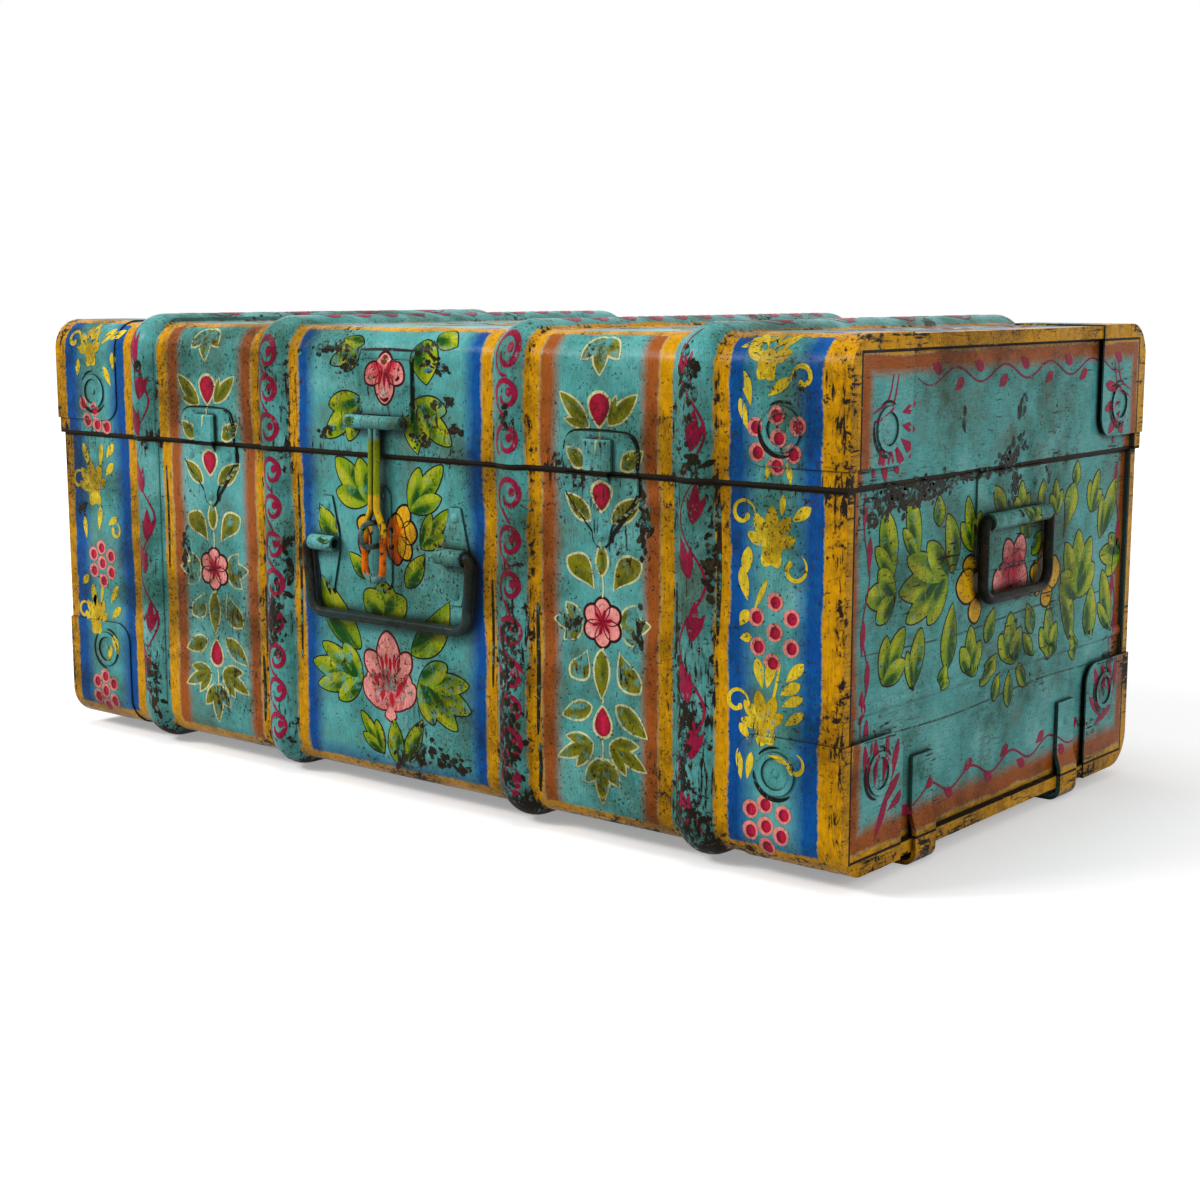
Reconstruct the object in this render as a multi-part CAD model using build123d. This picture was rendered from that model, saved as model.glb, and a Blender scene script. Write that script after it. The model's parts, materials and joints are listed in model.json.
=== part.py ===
"""Small tin trunk with a ribbed, hinged lid, a wire hasp, two dowels and three wire handles.

The frame has +X along the front, +Y to the back and +Z up. The origin lies on the floor, below the
middle of the whole object's box. Every length is in millimetres. Heights along the sheet work are
measured from the underside of the body sheet, which the swages and runners hold off the floor.
"""

import os
from math import degrees

from build123d import *

os.makedirs("parts", exist_ok=True)

# Driving dimensions of the box
trunk_width = 500.0
trunk_depth = 266.0
body_height = 157.0
lid_height = 60.0
edge_radius = 15.0
sheet = 0.8
lid_overhang = 1.5

# Swages that run round the body and over the lid
rib_width = 20.0
rib_height = 4.5
rib_foot_radius = 2.5
inner_rib_x = 78.0
outer_rib_x = 178.0

# Folded rims at the ends, dished end sheets and the edges of the mouth
rim_width = 6.0
panel_recess = 1.5
panel_flange = 8.0
bead_width = 6.0
bead_height = 1.2
bead_z = 67.0
mouth_inset_end = 6.0
mouth_inset_side = 4.0
lip_rise = 9.0
lip_drop = 15.0
lip_corner_radius = 6.0
lip_clearance = 0.5

# Thin protectors at the eight corners, with a pressed ring on each upright face
cap_thickness = 0.8
cap_reach_x = 50.0
cap_reach_y = 46.0
body_cap_reach_z = 55.0
lid_cap_reach_z = 52.0
cap_corner_radius = 10.0
ring_radius = 9.0
ring_width = 2.2
ring_height = 0.9
ring_inset_x = 31.0
ring_inset_y = 27.0
body_ring_z = 40.0
lid_ring_z = 23.0

# Runners under the bottom
runner_width = 17.0
runner_thickness = 2.0
runner_rise = 41.0
runner_offset_y = 68.0
runner_bend_radius = 5.0
runner_joggle_start = 9.0
runner_joggle_length = 7.0
runner_rivet_inset = 9.2

# Rivets
rivet_radius = 2.6
rivet_height = 1.2
small_rivet_radius = 1.9
small_rivet_height = 0.9

# Plates and the barrels rolled on them
plate_thickness = 1.0
barrel_wall = 1.3
running_clearance = 0.05

# Handles: bent wire in barrels
bail_rod_radius = 2.4
bail_drop = 34.0
bail_corner_radius = 8.0
bail_stub_radius = 3.4
bail_stub_length = 13.0
bail_leg_gap = 0.5
front_bail_width = 108.0
front_bail_taper = 3.0
front_pivot_below_seam = 43.5
bracket_width = 16.0
bracket_height = 45.0
bracket_tip_width = 7.0
bracket_rivet_offset = 17.8
side_bail_width = 62.0
side_handle_offset = 8.0
side_plate_width = 66.0
side_plate_height = 44.0
side_plate_edge_gap = 0.5
side_plate_corner_radius = 4.0
side_rivet_inset_y = 12.0
side_rivet_offset_z = 14.0

# Hasp: wire bent double round a knuckle, over a wire staple, both a little left of the plate's middle
hasp_x = -5.0
hasp_plate_width = 33.0
hasp_plate_height = 29.0
hasp_plate_corner_radius = 2.0
hasp_rivet_offset = 8.25
hasp_low_rivet_rise = 13.0
hasp_high_rivet_rise = 22.6
hasp_pivot_rise = 16.0
hasp_barrel_length = 36.0
hasp_knuckle_length = 12.0
hasp_knuckle_gap = 0.3
hasp_pin_radius = 1.6
hasp_barrel_radius = 3.2
hasp_wire_radius = 1.65
hasp_strand_gap = 0.2
hasp_length = 74.0
hasp_eye_start = 41.0
hasp_eye_flare = 8.0
hasp_eye_width = 11.8
hasp_stand_off = 2.0
staple_wire_radius = 1.4
staple_loop_radius = 5.6
staple_free_depth = 5.0
staple_drop = 52.5
staple_plate_width = 12.0
staple_plate_below = 27.5
staple_plate_above = 22.5
staple_rivet_inset = 4.5

# Dowels: a tongue on the body behind a socket on the lid
dowel_x = 128.0
dowel_width = 40.0
socket_height = 17.0
socket_corner_radius = 8.0
socket_pocket_width = 15.0
socket_pocket_depth = 2.8
socket_top_wall = 3.0
shield_height = 31.0
shield_shoulder = 7.0
shield_waist_width = 24.8
shield_tip_radius = 4.5
tongue_width = 9.0
tongue_rise = 11.0
tongue_joggle = 4.0
tongue_clearance = 0.8
dowel_rivet_inset = 5.5
dowel_edge_gap = 0.6

# Hinges on the back
hinge_x = 128.0
hinge_length = 50.0
hinge_leaf_height = 22.0
hinge_knuckle_share = 17.4
hinge_knuckle_gap = 0.3
hinge_pin_radius = 1.5
hinge_barrel_radius = 3.2
hinge_stand_off = 5.4
hinge_leaf_clearance = 1.0
hinge_joggle_height = 4.0
hinge_rivet_edge = 5.0
hinge_rivet_inset = 8.0

# How far a cut runs past the face that it opens, and the straight left between two close bends
cut_margin = 1.0
bend_straight = 0.1

# Places worked out from them
half_width = trunk_width / 2
half_depth = trunk_depth / 2
floor_z = runner_thickness + rib_height
seam_z = floor_z + body_height
top_z = seam_z + lid_height
panel_face_x = half_width - sheet - panel_recess
lid_half_width = half_width + lid_overhang
lid_half_depth = half_depth + lid_overhang
barrel_bore = bail_rod_radius + running_clearance
barrel_radius = barrel_bore + barrel_wall
front_barrel_end = front_bail_width / 2 - bail_stub_radius - bail_leg_gap
front_pivot_y = -half_depth - barrel_radius
front_pivot_z = seam_z - front_pivot_below_seam
side_barrel_end = side_bail_width / 2 - bail_stub_radius - bail_leg_gap
side_pivot_x = panel_face_x + barrel_radius
side_pivot_z = seam_z - side_plate_edge_gap - side_plate_height / 2
hasp_barrel_left = hasp_x - hasp_barrel_length / 2
hasp_barrel_right = hasp_x + hasp_barrel_length / 2
hasp_pivot_y = -lid_half_depth - hasp_barrel_radius
hasp_pivot_z = seam_z + hasp_pivot_rise
hasp_eye_y = hasp_pivot_y - hasp_stand_off
hasp_tilt = degrees(hasp_stand_off / hasp_length)
staple_z = hasp_pivot_z - staple_drop
staple_tip_y = hasp_eye_y - hasp_wire_radius - staple_free_depth - 2 * staple_wire_radius
tongue_back_y = -lid_half_depth - tongue_clearance
pocket_inner_y = -lid_half_depth - socket_pocket_depth
hinge_y = half_depth + hinge_stand_off
front_reach = -staple_tip_y
rear_reach = hinge_y + hinge_barrel_radius
origin_shift = (front_reach - rear_reach) / 2


# ---------------------------------------------------------------- helpers


def save(name, *pieces):
    """Writes one node, moved so that the origin lies below the middle of the whole box."""
    moved = [Pos(0, origin_shift, 0) * piece for piece in pieces]
    node = moved[0] if len(moved) == 1 else Compound(children=moved)
    node.label = name
    export_step(node, f"parts/{name}.step")


def mirrored_x(piece):
    """The same piece on the other side, left for right."""
    return mirror(piece, about=Plane.YZ)


def mirrored_y(piece):
    """The same piece on the other side, front for back."""
    return mirror(piece, about=Plane.XZ)


def box_between(low, high):
    """A block from its low corner to its high corner."""
    size = [h - l for l, h in zip(low, high)]
    middle = [(h + l) / 2 for l, h in zip(low, high)]
    return Pos(*middle) * Box(*size)


def facing_front(x, y, z):
    """A plane that looks out of the front, with +X across and +Z up."""
    return Plane(origin=(x, y, z), x_dir=(1, 0, 0), z_dir=(0, -1, 0))


def bent_strip(points, bend_radius, width, thickness, across):
    """A flat strip bent along points at its mid thickness, as wide as width along across."""
    path = FilletPolyline(*points, radius=bend_radius)
    start = Plane(origin=path @ 0, x_dir=across, z_dir=path % 0)
    return sweep(start * Rectangle(width, thickness), path=path)


def bent_wire(points, bend_radius, wire_radius):
    """A round wire bent along points, with one bend radius or a list of them."""
    path = FilletPolyline(*points, radius=bend_radius)
    start = Plane(origin=path @ 0, z_dir=path % 0)
    return sweep(start * Circle(wire_radius), path=path)


def rivet_head(radius, height, place, outward):
    """A low domed head that sits on a face at place and stands out along outward."""
    dome_radius = (radius**2 + height**2) / (2 * height)
    dome = Pos(0, 0, height - dome_radius) * Sphere(dome_radius)
    block = Pos(0, 0, height / 2) * Box(3 * radius, 3 * radius, height)
    return Plane(origin=place, z_dir=outward) * (dome & block)


def tube_x(low_x, high_x, y, z, outer_radius, inner_radius):
    """A rolled barrel that lies along X."""
    ring = Circle(outer_radius) - Circle(inner_radius)
    return extrude(Plane(origin=(low_x, y, z), x_dir=(0, 1, 0), z_dir=(1, 0, 0)) * ring, high_x - low_x)


def rod_x(low_x, high_x, y, z, radius):
    """A round pin that lies along X."""
    start = Plane(origin=(low_x, y, z), x_dir=(0, 1, 0), z_dir=(1, 0, 0))
    return extrude(start * Circle(radius), high_x - low_x)


# ---------------------------------------------------------------- sheet work


def side_outline(inset, half_depth_out, open_z, closed_z, radius):
    """The trunk's outline seen from an end: open at the seam and rounded at the closed edges."""
    up = 1 if closed_z > open_z else -1
    y = half_depth_out - inset
    z = closed_z - up * inset
    outline = make_face(Polyline((-y, open_z), (-y, z), (y, z), (y, open_z), close=True))
    corners = [v for v in outline.vertices() if abs(v.Y - z) < 1e-6]
    return Plane.YZ * fillet(corners, radius - inset)


def ribbed_section(half_width_out):
    """The sheet's cross-section along X: a flat band raised into four half-round swages."""
    crown_radius = (rib_width**2 / 4 + rib_height**2) / (2 * rib_height)
    centre_y = rib_height - crown_radius
    keep = Pos(0, centre_y + crown_radius) * Rectangle(rib_width, 2 * rib_height + 2 * sheet)
    section = Pos(0, -sheet / 2) * Rectangle(2 * half_width_out, sheet)
    rib_centres = (-outer_rib_x, -inner_rib_x, inner_rib_x, outer_rib_x)
    for x in rib_centres:
        section += Pos(x, 0) * (Pos(0, centre_y) * Circle(crown_radius) & keep)
    for x in rib_centres:
        section -= Pos(x, centre_y) * Circle(crown_radius - sheet)
    far = half_width_out - rib_width
    feet = [v for v in section.vertices() if abs(v.Y) < 1e-6 and abs(v.X) < far]
    section = fillet(feet, rib_foot_radius)
    inner_feet = [v for v in section.vertices() if abs(v.Y + sheet) < 1e-6 and abs(v.X) < far]
    return fillet(inner_feet, rib_foot_radius + sheet)


def folded_sheet(half_width_out, half_depth_out, open_z, closed_z, fold_clearance):
    """One sheet folded round front, closed side and back, with rims at the ends and folds at the mouth."""
    up = 1 if closed_z > open_z else -1
    corners = (
        (0, -half_depth_out, open_z),
        (0, -half_depth_out, closed_z),
        (0, half_depth_out, closed_z),
        (0, half_depth_out, open_z),
    )
    path = FilletPolyline(*corners, radius=edge_radius)
    start = Plane(origin=path @ 0, x_dir=(-up, 0, 0), z_dir=(0, 0, up))
    body = sweep(start * ribbed_section(half_width_out), path=path)
    outer = side_outline(0, half_depth_out, open_z, closed_z, edge_radius)
    rim = extrude(outer - side_outline(rim_width, half_depth_out, open_z, closed_z, edge_radius), sheet)
    body += Pos(half_width_out - sheet, 0, 0) * rim
    body += Pos(-half_width_out, 0, 0) * rim
    fold_x = half_width_out - 2 * sheet - panel_recess
    fold_y = half_depth - mouth_inset_side + fold_clearance
    fold_z = sorted((open_z, open_z + up * sheet))
    fold = box_between((-fold_x, -half_depth_out, fold_z[0]), (fold_x, -fold_y, fold_z[1]))
    return body + fold + mirrored_y(fold)


def end_panel(half_width_out, half_depth_out, open_z, closed_z, fold_clearance, with_bead):
    """A dished sheet for the right end: a land behind the rim, a set-back field and a flange inside."""
    up = 1 if closed_z > open_z else -1
    land_x = half_width_out - 2 * sheet
    field_x = land_x - panel_recess
    land = side_outline(sheet, half_depth_out, open_z, closed_z, edge_radius)
    step = side_outline(rim_width - sheet, half_depth_out, open_z, closed_z, edge_radius)
    field = side_outline(rim_width, half_depth_out, open_z, closed_z, edge_radius)
    panel = Pos(land_x, 0, 0) * extrude(land - field, sheet)
    panel += Pos(field_x, 0, 0) * extrude(step - field, panel_recess + sheet)
    panel += Pos(field_x, 0, 0) * extrude(step, sheet)
    flange_z = open_z + up * 2 * sheet
    flange = side_outline(sheet, half_depth_out, flange_z, closed_z, edge_radius)
    flange -= side_outline(2 * sheet, half_depth_out, flange_z, closed_z, edge_radius)
    panel += Pos(land_x - panel_flange, 0, 0) * extrude(flange, panel_flange)
    fold_x = half_width - mouth_inset_end + fold_clearance
    fold_y = half_depth - mouth_inset_side + fold_clearance
    fold_z = sorted((open_z, open_z + up * sheet))
    panel += box_between((fold_x, -fold_y, fold_z[0]), (field_x, fold_y, fold_z[1]))
    if with_bead:
        crown_radius = (bead_width**2 / 4 + bead_height**2) / (2 * bead_height)
        length = 2 * (half_depth_out - rim_width)
        axis_x = field_x + sheet + bead_height - crown_radius
        across = Rot(90, 0, 0)
        ridge = Pos(axis_x, 0, floor_z + bead_z) * across * Cylinder(crown_radius, length)
        hollow = Pos(axis_x, 0, floor_z + bead_z) * across * Cylinder(crown_radius - sheet, length)
        far_corner = (land_x + sheet, length / 2, seam_z)
        panel += ridge & box_between((field_x, -length / 2, floor_z), far_corner)
        panel -= hollow & box_between((field_x - cut_margin, -length / 2, floor_z), far_corner)
    return panel


def corner_cap(half_width_out, half_depth_out, open_z, closed_z, reach_z, ring_z):
    """A protector for the right front corner: a skin over three faces, with a ring on each upright one."""
    up = 1 if closed_z > open_z else -1
    inside = extrude(side_outline(0, half_depth_out, open_z, closed_z, edge_radius), half_width_out)
    outside = extrude(
        side_outline(-cap_thickness, half_depth_out, open_z, closed_z, edge_radius),
        half_width_out + cap_thickness,
    )
    skin = outside - inside
    far_z = closed_z - up * reach_z
    out_z = closed_z + up * 2 * cap_thickness
    out_x = half_width_out + 2 * cap_thickness
    out_y = -half_depth_out - 2 * cap_thickness
    in_x = half_width_out - cap_reach_x
    in_y = -half_depth_out + cap_reach_y
    reach = 2 * (half_width_out + half_depth_out)
    front = make_face(Polyline((in_x, far_z), (out_x, far_z), (out_x, out_z), (in_x, out_z), close=True))
    side = make_face(Polyline((in_y, far_z), (out_y, far_z), (out_y, out_z), (in_y, out_z), close=True))
    plan = make_face(Polyline((in_x, in_y), (out_x, in_y), (out_x, out_y), (in_x, out_y), close=True))
    front = fillet(front.vertices().sort_by_distance((in_x, far_z, 0))[0], cap_corner_radius)
    side = fillet(side.vertices().sort_by_distance((in_y, far_z, 0))[0], cap_corner_radius)
    plan = fillet(plan.vertices().sort_by_distance((in_x, in_y, 0))[0], cap_corner_radius)
    cap = skin & extrude(Plane.XZ * front, reach, both=True)
    cap &= extrude(Plane.YZ * side, reach, both=True)
    cap &= extrude(Plane.XY * plan, reach, both=True)
    ring = extrude(Circle(ring_radius) - Circle(ring_radius - ring_width), ring_height)
    for place, outward in cap_ring_places(half_width_out, half_depth_out, ring_z):
        cap += Plane(origin=place, z_dir=outward) * ring
    return cap


def cap_ring_places(half_width_out, half_depth_out, ring_z):
    """Where the two pressed rings of the right front protector lie, and which way they face."""
    front_face = (half_width_out - ring_inset_x, -half_depth_out - cap_thickness, ring_z)
    end_face = (half_width_out + cap_thickness, -half_depth_out + ring_inset_y, ring_z)
    return ((front_face, (0, -1, 0)), (end_face, (1, 0, 0)))


def save_corner_caps(prefix, half_width_out, half_depth_out, open_z, closed_z, reach_z, ring_z):
    """The four protectors of the body or the lid, and the rivet in the middle of each ring."""
    cap = corner_cap(half_width_out, half_depth_out, open_z, closed_z, reach_z, ring_z)
    save(f"{prefix}_corner_front_right", cap)
    save(f"{prefix}_corner_front_left", mirrored_x(cap))
    save(f"{prefix}_corner_rear_right", mirrored_y(cap))
    save(f"{prefix}_corner_rear_left", mirrored_x(mirrored_y(cap)))
    heads = [
        rivet_head(small_rivet_radius, small_rivet_height, place, outward)
        for place, outward in cap_ring_places(half_width_out, half_depth_out, ring_z)
    ]
    heads += [mirrored_x(head) for head in heads]
    heads += [mirrored_y(head) for head in heads]
    save(f"{prefix}_corner_rivets", *heads)


def rim_lip():
    """The strip that stands up inside the mouth and guides the lid down."""
    x = half_width - mouth_inset_end
    y = half_depth - mouth_inset_side
    outer = RectangleRounded(2 * x, 2 * y, lip_corner_radius)
    inner = RectangleRounded(2 * (x - sheet), 2 * (y - sheet), lip_corner_radius - sheet)
    return Pos(0, 0, seam_z - lip_drop) * extrude(outer - inner, lip_drop + lip_rise)


# ---------------------------------------------------------------- runners


def runner():
    """A flat runner under the bottom, turned up over the rims and set in against the end sheets."""
    half = runner_thickness / 2
    low_x = half_width + half
    high_x = panel_face_x + half
    joggle_z = floor_z + runner_joggle_start
    right = (
        (low_x, 0, half),
        (low_x, 0, joggle_z),
        (high_x, 0, joggle_z + runner_joggle_length),
        (high_x, 0, floor_z + runner_rise),
    )
    left = [(-x, y, z) for x, y, z in reversed(right)]
    return bent_strip((*left, *right), runner_bend_radius, runner_width, runner_thickness, (0, 1, 0))


def runner_rivets():
    """One head near the top of each turned-up end."""
    x = panel_face_x + runner_thickness
    z = floor_z + runner_rise - runner_rivet_inset
    heads = []
    for y in (-runner_offset_y, runner_offset_y):
        head = rivet_head(rivet_radius, rivet_height, (x, y, z), (1, 0, 0))
        heads += [head, mirrored_x(head)]
    return heads


# ---------------------------------------------------------------- handles


def bail(width, taper):
    """A wire handle that hangs from the origin, with its two ends turned in along the pivot."""
    top = width / 2
    low = top - taper
    stub = top - bail_stub_length
    left = ((-stub, 0, 0), (-top, 0, 0), (-low, 0, -bail_drop))
    points = (*left, *((-x, y, z) for x, y, z in reversed(left)))
    radii = (bail_stub_radius, bail_corner_radius, bail_corner_radius, bail_stub_radius)
    return bent_wire(points, radii, bail_rod_radius)


def handle_bracket():
    """A six-sided plate with a barrel across its middle, for the right end of the front handle."""
    half = bracket_width / 2
    tip = bracket_tip_width / 2
    high = bracket_height / 2
    centre_x = front_barrel_end - half
    outline = make_face(
        Polyline((-tip, -high), (tip, -high), (half, -barrel_radius), (half, barrel_radius), (tip, high),
                 (-tip, high), (-half, barrel_radius), (-half, -barrel_radius), close=True)
    )
    place = (front_pivot_y, front_pivot_z)
    plate = extrude(facing_front(centre_x, -half_depth, front_pivot_z) * outline, plate_thickness)
    bore = rod_x(centre_x - bracket_width, centre_x + bracket_width, *place, barrel_bore)
    return plate + tube_x(centre_x - half, centre_x + half, *place, barrel_radius, barrel_bore) - bore


def handle_bracket_rivets():
    """Two heads on each bracket."""
    x = front_barrel_end - bracket_width / 2
    y = -half_depth - plate_thickness
    heads = []
    for offset in (-bracket_rivet_offset, bracket_rivet_offset):
        place = (x, y, front_pivot_z + offset)
        head = rivet_head(rivet_radius, rivet_height, place, (0, -1, 0))
        heads += [head, mirrored_x(head)]
    return heads


def side_plate():
    """A plate on the right end sheet with a barrel across its middle."""
    outline = RectangleRounded(side_plate_width, side_plate_height, side_plate_corner_radius)
    middle = (panel_face_x, side_handle_offset, side_pivot_z)
    on_panel = Plane(origin=middle, x_dir=(0, 1, 0), z_dir=(1, 0, 0))
    plate = extrude(on_panel * outline, plate_thickness)
    near_y = side_handle_offset - side_barrel_end
    turned = Plane(origin=(side_pivot_x, near_y, side_pivot_z), z_dir=(0, 1, 0))
    plate += extrude(turned * Circle(barrel_radius), 2 * side_barrel_end)
    return plate - extrude(turned * Circle(barrel_bore), 2 * side_barrel_end)


def side_plate_rivets():
    """Four heads on each end plate."""
    x = panel_face_x + plate_thickness
    reach = side_plate_width / 2 - side_rivet_inset_y
    heads = []
    for offset in (-side_rivet_offset_z, side_rivet_offset_z):
        for y in (side_handle_offset - reach, side_handle_offset + reach):
            head = rivet_head(rivet_radius, rivet_height, (x, y, side_pivot_z + offset), (1, 0, 0))
            heads += [head, mirrored_x(head)]
    return heads


# ---------------------------------------------------------------- hasp and staple


def hasp_plate():
    """The plate on the lid, rolled round the pin at its lower edge with a gap for the hasp's knuckle."""
    half = hasp_plate_width / 2
    notch = hasp_knuckle_length / 2 + hasp_knuckle_gap
    back_y = -lid_half_depth
    front_y = back_y - plate_thickness
    top = hasp_pivot_z + hasp_plate_height
    plate = box_between((-half, front_y, hasp_pivot_z), (half, back_y, top))
    corners = plate.edges().filter_by(Axis.Y).group_by(Axis.Z)[-1]
    plate = fillet(corners, hasp_plate_corner_radius)
    notch_top = hasp_pivot_z + hasp_barrel_radius + hasp_knuckle_gap
    notch_low = hasp_pivot_z - cut_margin
    notch_left = hasp_x - notch
    notch_right = hasp_x + notch
    plate -= box_between(
        (notch_left, front_y - cut_margin, notch_low),
        (notch_right, back_y + cut_margin, notch_top),
    )
    for low_x, high_x in ((hasp_barrel_left, notch_left), (notch_right, hasp_barrel_right)):
        plate += rod_x(low_x, high_x, hasp_pivot_y, hasp_pivot_z, hasp_barrel_radius)
    return plate - rod_x(hasp_barrel_left, hasp_barrel_right, hasp_pivot_y, hasp_pivot_z, hasp_pin_radius)


def hasp_plate_rivets():
    """Two heads at the top of the plate and one below them."""
    y = -lid_half_depth - plate_thickness
    low_z = hasp_pivot_z + hasp_low_rivet_rise
    high_z = hasp_pivot_z + hasp_high_rivet_rise
    places = ((-hasp_rivet_offset, y, high_z), (hasp_rivet_offset, y, high_z), (0, y, low_z))
    return [rivet_head(rivet_radius, rivet_height, place, (0, -1, 0)) for place in places]


def hasp():
    """A wire bent double below its knuckle and opened into an eye, hung a little off plumb."""
    knuckle = tube_x(
        -hasp_knuckle_length / 2,
        hasp_knuckle_length / 2,
        0,
        0,
        hasp_barrel_radius,
        hasp_pin_radius + running_clearance,
    )
    strand_x = hasp_wire_radius + hasp_strand_gap / 2
    eye_x = hasp_eye_width / 2
    start_z = -(hasp_pin_radius + hasp_barrel_radius) / 2
    flare_z = -hasp_eye_start - hasp_eye_flare
    right = (
        (strand_x, 0, start_z),
        (strand_x, 0, -hasp_eye_start),
        (eye_x, 0, flare_z),
        (eye_x, 0, -hasp_length),
    )
    left = [(-x, y, z) for x, y, z in reversed(right)]
    wire = bent_wire((*right, *left), eye_x - bend_straight, hasp_wire_radius)
    tilt = Rot(-hasp_tilt, 0, 0)
    return Pos(hasp_x, hasp_pivot_y, hasp_pivot_z) * (knuckle + tilt * wire)


def staple():
    """A wire loop in an upright plane that stands out through the hasp's eye."""
    high_z = staple_z + staple_loop_radius
    low_z = staple_z - staple_loop_radius
    back_y = -half_depth - plate_thickness
    front_y = staple_tip_y + staple_wire_radius
    points = (
        (hasp_x, back_y, high_z),
        (hasp_x, front_y, high_z),
        (hasp_x, front_y, low_z),
        (hasp_x, back_y, low_z),
    )
    return bent_wire(points, staple_loop_radius - bend_straight, staple_wire_radius)


def staple_plate():
    """The round-ended strip that the staple stands on."""
    height = staple_plate_above + staple_plate_below
    outline = SlotOverall(height, staple_plate_width, rotation=90)
    middle_z = staple_z + (staple_plate_above - staple_plate_below) / 2
    return extrude(facing_front(hasp_x, -half_depth, middle_z) * outline, plate_thickness)


def staple_rivets():
    """A head at each end of the strip."""
    y = -half_depth - plate_thickness
    heights = (
        staple_z - staple_plate_below + staple_rivet_inset,
        staple_z + staple_plate_above - staple_rivet_inset,
    )
    places = [(hasp_x, y, z) for z in heights]
    return [rivet_head(small_rivet_radius, small_rivet_height, place, (0, -1, 0)) for place in places]


# ---------------------------------------------------------------- dowels


def dowel_socket():
    """The round-shouldered plate on the lid with a raised pocket, open below, for the tongue."""
    low_z = seam_z + dowel_edge_gap
    half = dowel_width / 2
    high_z = low_z + socket_height
    outline = make_face(Polyline((-half, low_z), (half, low_z), (half, high_z), (-half, high_z), close=True))
    shoulders = [v for v in outline.vertices() if abs(v.Y - high_z) < 1e-6]
    outline = fillet(shoulders, socket_corner_radius)
    plate = extrude(facing_front(0, -lid_half_depth, 0) * outline, plate_thickness)
    pocket_top = high_z - socket_top_wall
    pocket_half = socket_pocket_width / 2
    front_y = pocket_inner_y - plate_thickness
    shell = box_between((-pocket_half, front_y, low_z), (pocket_half, -lid_half_depth, pocket_top))
    shell = chamfer(shell.edges().group_by(Axis.Y)[0].filter_by(Axis.Z), plate_thickness)
    shell = chamfer(shell.edges().group_by(Axis.Z)[-1].filter_by(Axis.X).group_by(Axis.Y)[0], plate_thickness)
    inner_half = pocket_half - plate_thickness
    inner_top = pocket_top - plate_thickness
    below = low_z - cut_margin
    room = box_between((-inner_half, pocket_inner_y, below), (inner_half, -lid_half_depth, inner_top))
    return plate + shell - room


def dowel_tongue():
    """The shield plate on the body, waisted to a round tip, with the tongue that rises from it."""
    top_z = seam_z - dowel_edge_gap
    half = dowel_width / 2
    shoulder_z = top_z - shield_shoulder
    tip_z = top_z - shield_height
    tip_centre_z = tip_z + shield_tip_radius
    right_side = Spline(
        (half, shoulder_z),
        (shield_waist_width / 2, (shoulder_z + tip_centre_z) / 2),
        (shield_tip_radius, tip_centre_z),
        tangents=((0, -1), (0, -1)),
    )
    left_side = mirror(right_side, about=Plane.YZ)
    tip = ThreePointArc((shield_tip_radius, tip_centre_z), (0, tip_z), (-shield_tip_radius, tip_centre_z))
    top = Polyline((-half, shoulder_z), (-half, top_z), (half, top_z), (half, shoulder_z))
    outline = make_face(Curve() + [right_side, tip, left_side, top])
    plate = extrude(facing_front(0, -half_depth, 0) * outline, plate_thickness)
    low_y = -half_depth - plate_thickness / 2
    high_y = tongue_back_y - plate_thickness / 2
    points = (
        (0, low_y, top_z - 2 * tongue_joggle),
        (0, low_y, top_z - tongue_joggle),
        (0, high_y, top_z),
        (0, high_y, seam_z + tongue_rise),
    )
    return plate + bent_strip(points, plate_thickness, tongue_width, plate_thickness, (1, 0, 0))


def dowel_socket_rivets(x):
    """A head on each shoulder of a socket plate."""
    y = -lid_half_depth - plate_thickness
    z = seam_z + dowel_edge_gap + socket_height / 2
    offset = dowel_width / 2 - dowel_rivet_inset
    return [rivet_head(rivet_radius, rivet_height, (x + side * offset, y, z), (0, -1, 0)) for side in (-1, 1)]


def dowel_tongue_rivets(x):
    """A head at each shoulder of a shield plate and one at its tip."""
    y = -half_depth - plate_thickness
    top_z = seam_z - dowel_edge_gap
    offset = dowel_width / 2 - dowel_rivet_inset
    places = [(x + side * offset, y, top_z - dowel_rivet_inset) for side in (-1, 1)]
    places.append((x, y, top_z - shield_height + shield_tip_radius))
    return [rivet_head(rivet_radius, rivet_height, place, (0, -1, 0)) for place in places]


# ---------------------------------------------------------------- hinges


def hinge_leaf(up, face_y, knuckles):
    """A leaf on the back, stepped out to the barrel; knuckles are its spans along the pin."""
    half = plate_thickness / 2
    near_y = hinge_y - hinge_barrel_radius + half
    far_z = seam_z + up * hinge_leaf_height
    points = (
        (0, face_y + half, far_z),
        (0, face_y + half, seam_z + up * (hinge_barrel_radius + hinge_joggle_height)),
        (0, near_y, seam_z + up * hinge_barrel_radius),
        (0, near_y, seam_z),
    )
    leaf = bent_strip(points, plate_thickness, hinge_length, plate_thickness, (1, 0, 0))
    keep_from = hinge_barrel_radius + hinge_leaf_clearance
    low_z, high_z = sorted((seam_z - up, seam_z + up * keep_from))
    pieces = leaf
    half_gap = hinge_knuckle_gap / 2
    covered = [(low - half_gap, high + half_gap) for low, high in knuckles]
    for low_x, high_x in gaps_between(covered):
        pieces -= box_between((low_x, half_depth, low_z), (high_x, hinge_y, high_z))
    for low_x, high_x in knuckles:
        pieces += rod_x(low_x, high_x, hinge_y, seam_z, hinge_barrel_radius)
    bore = hinge_pin_radius + running_clearance
    return pieces - rod_x(-hinge_length, hinge_length, hinge_y, seam_z, bore)


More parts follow.
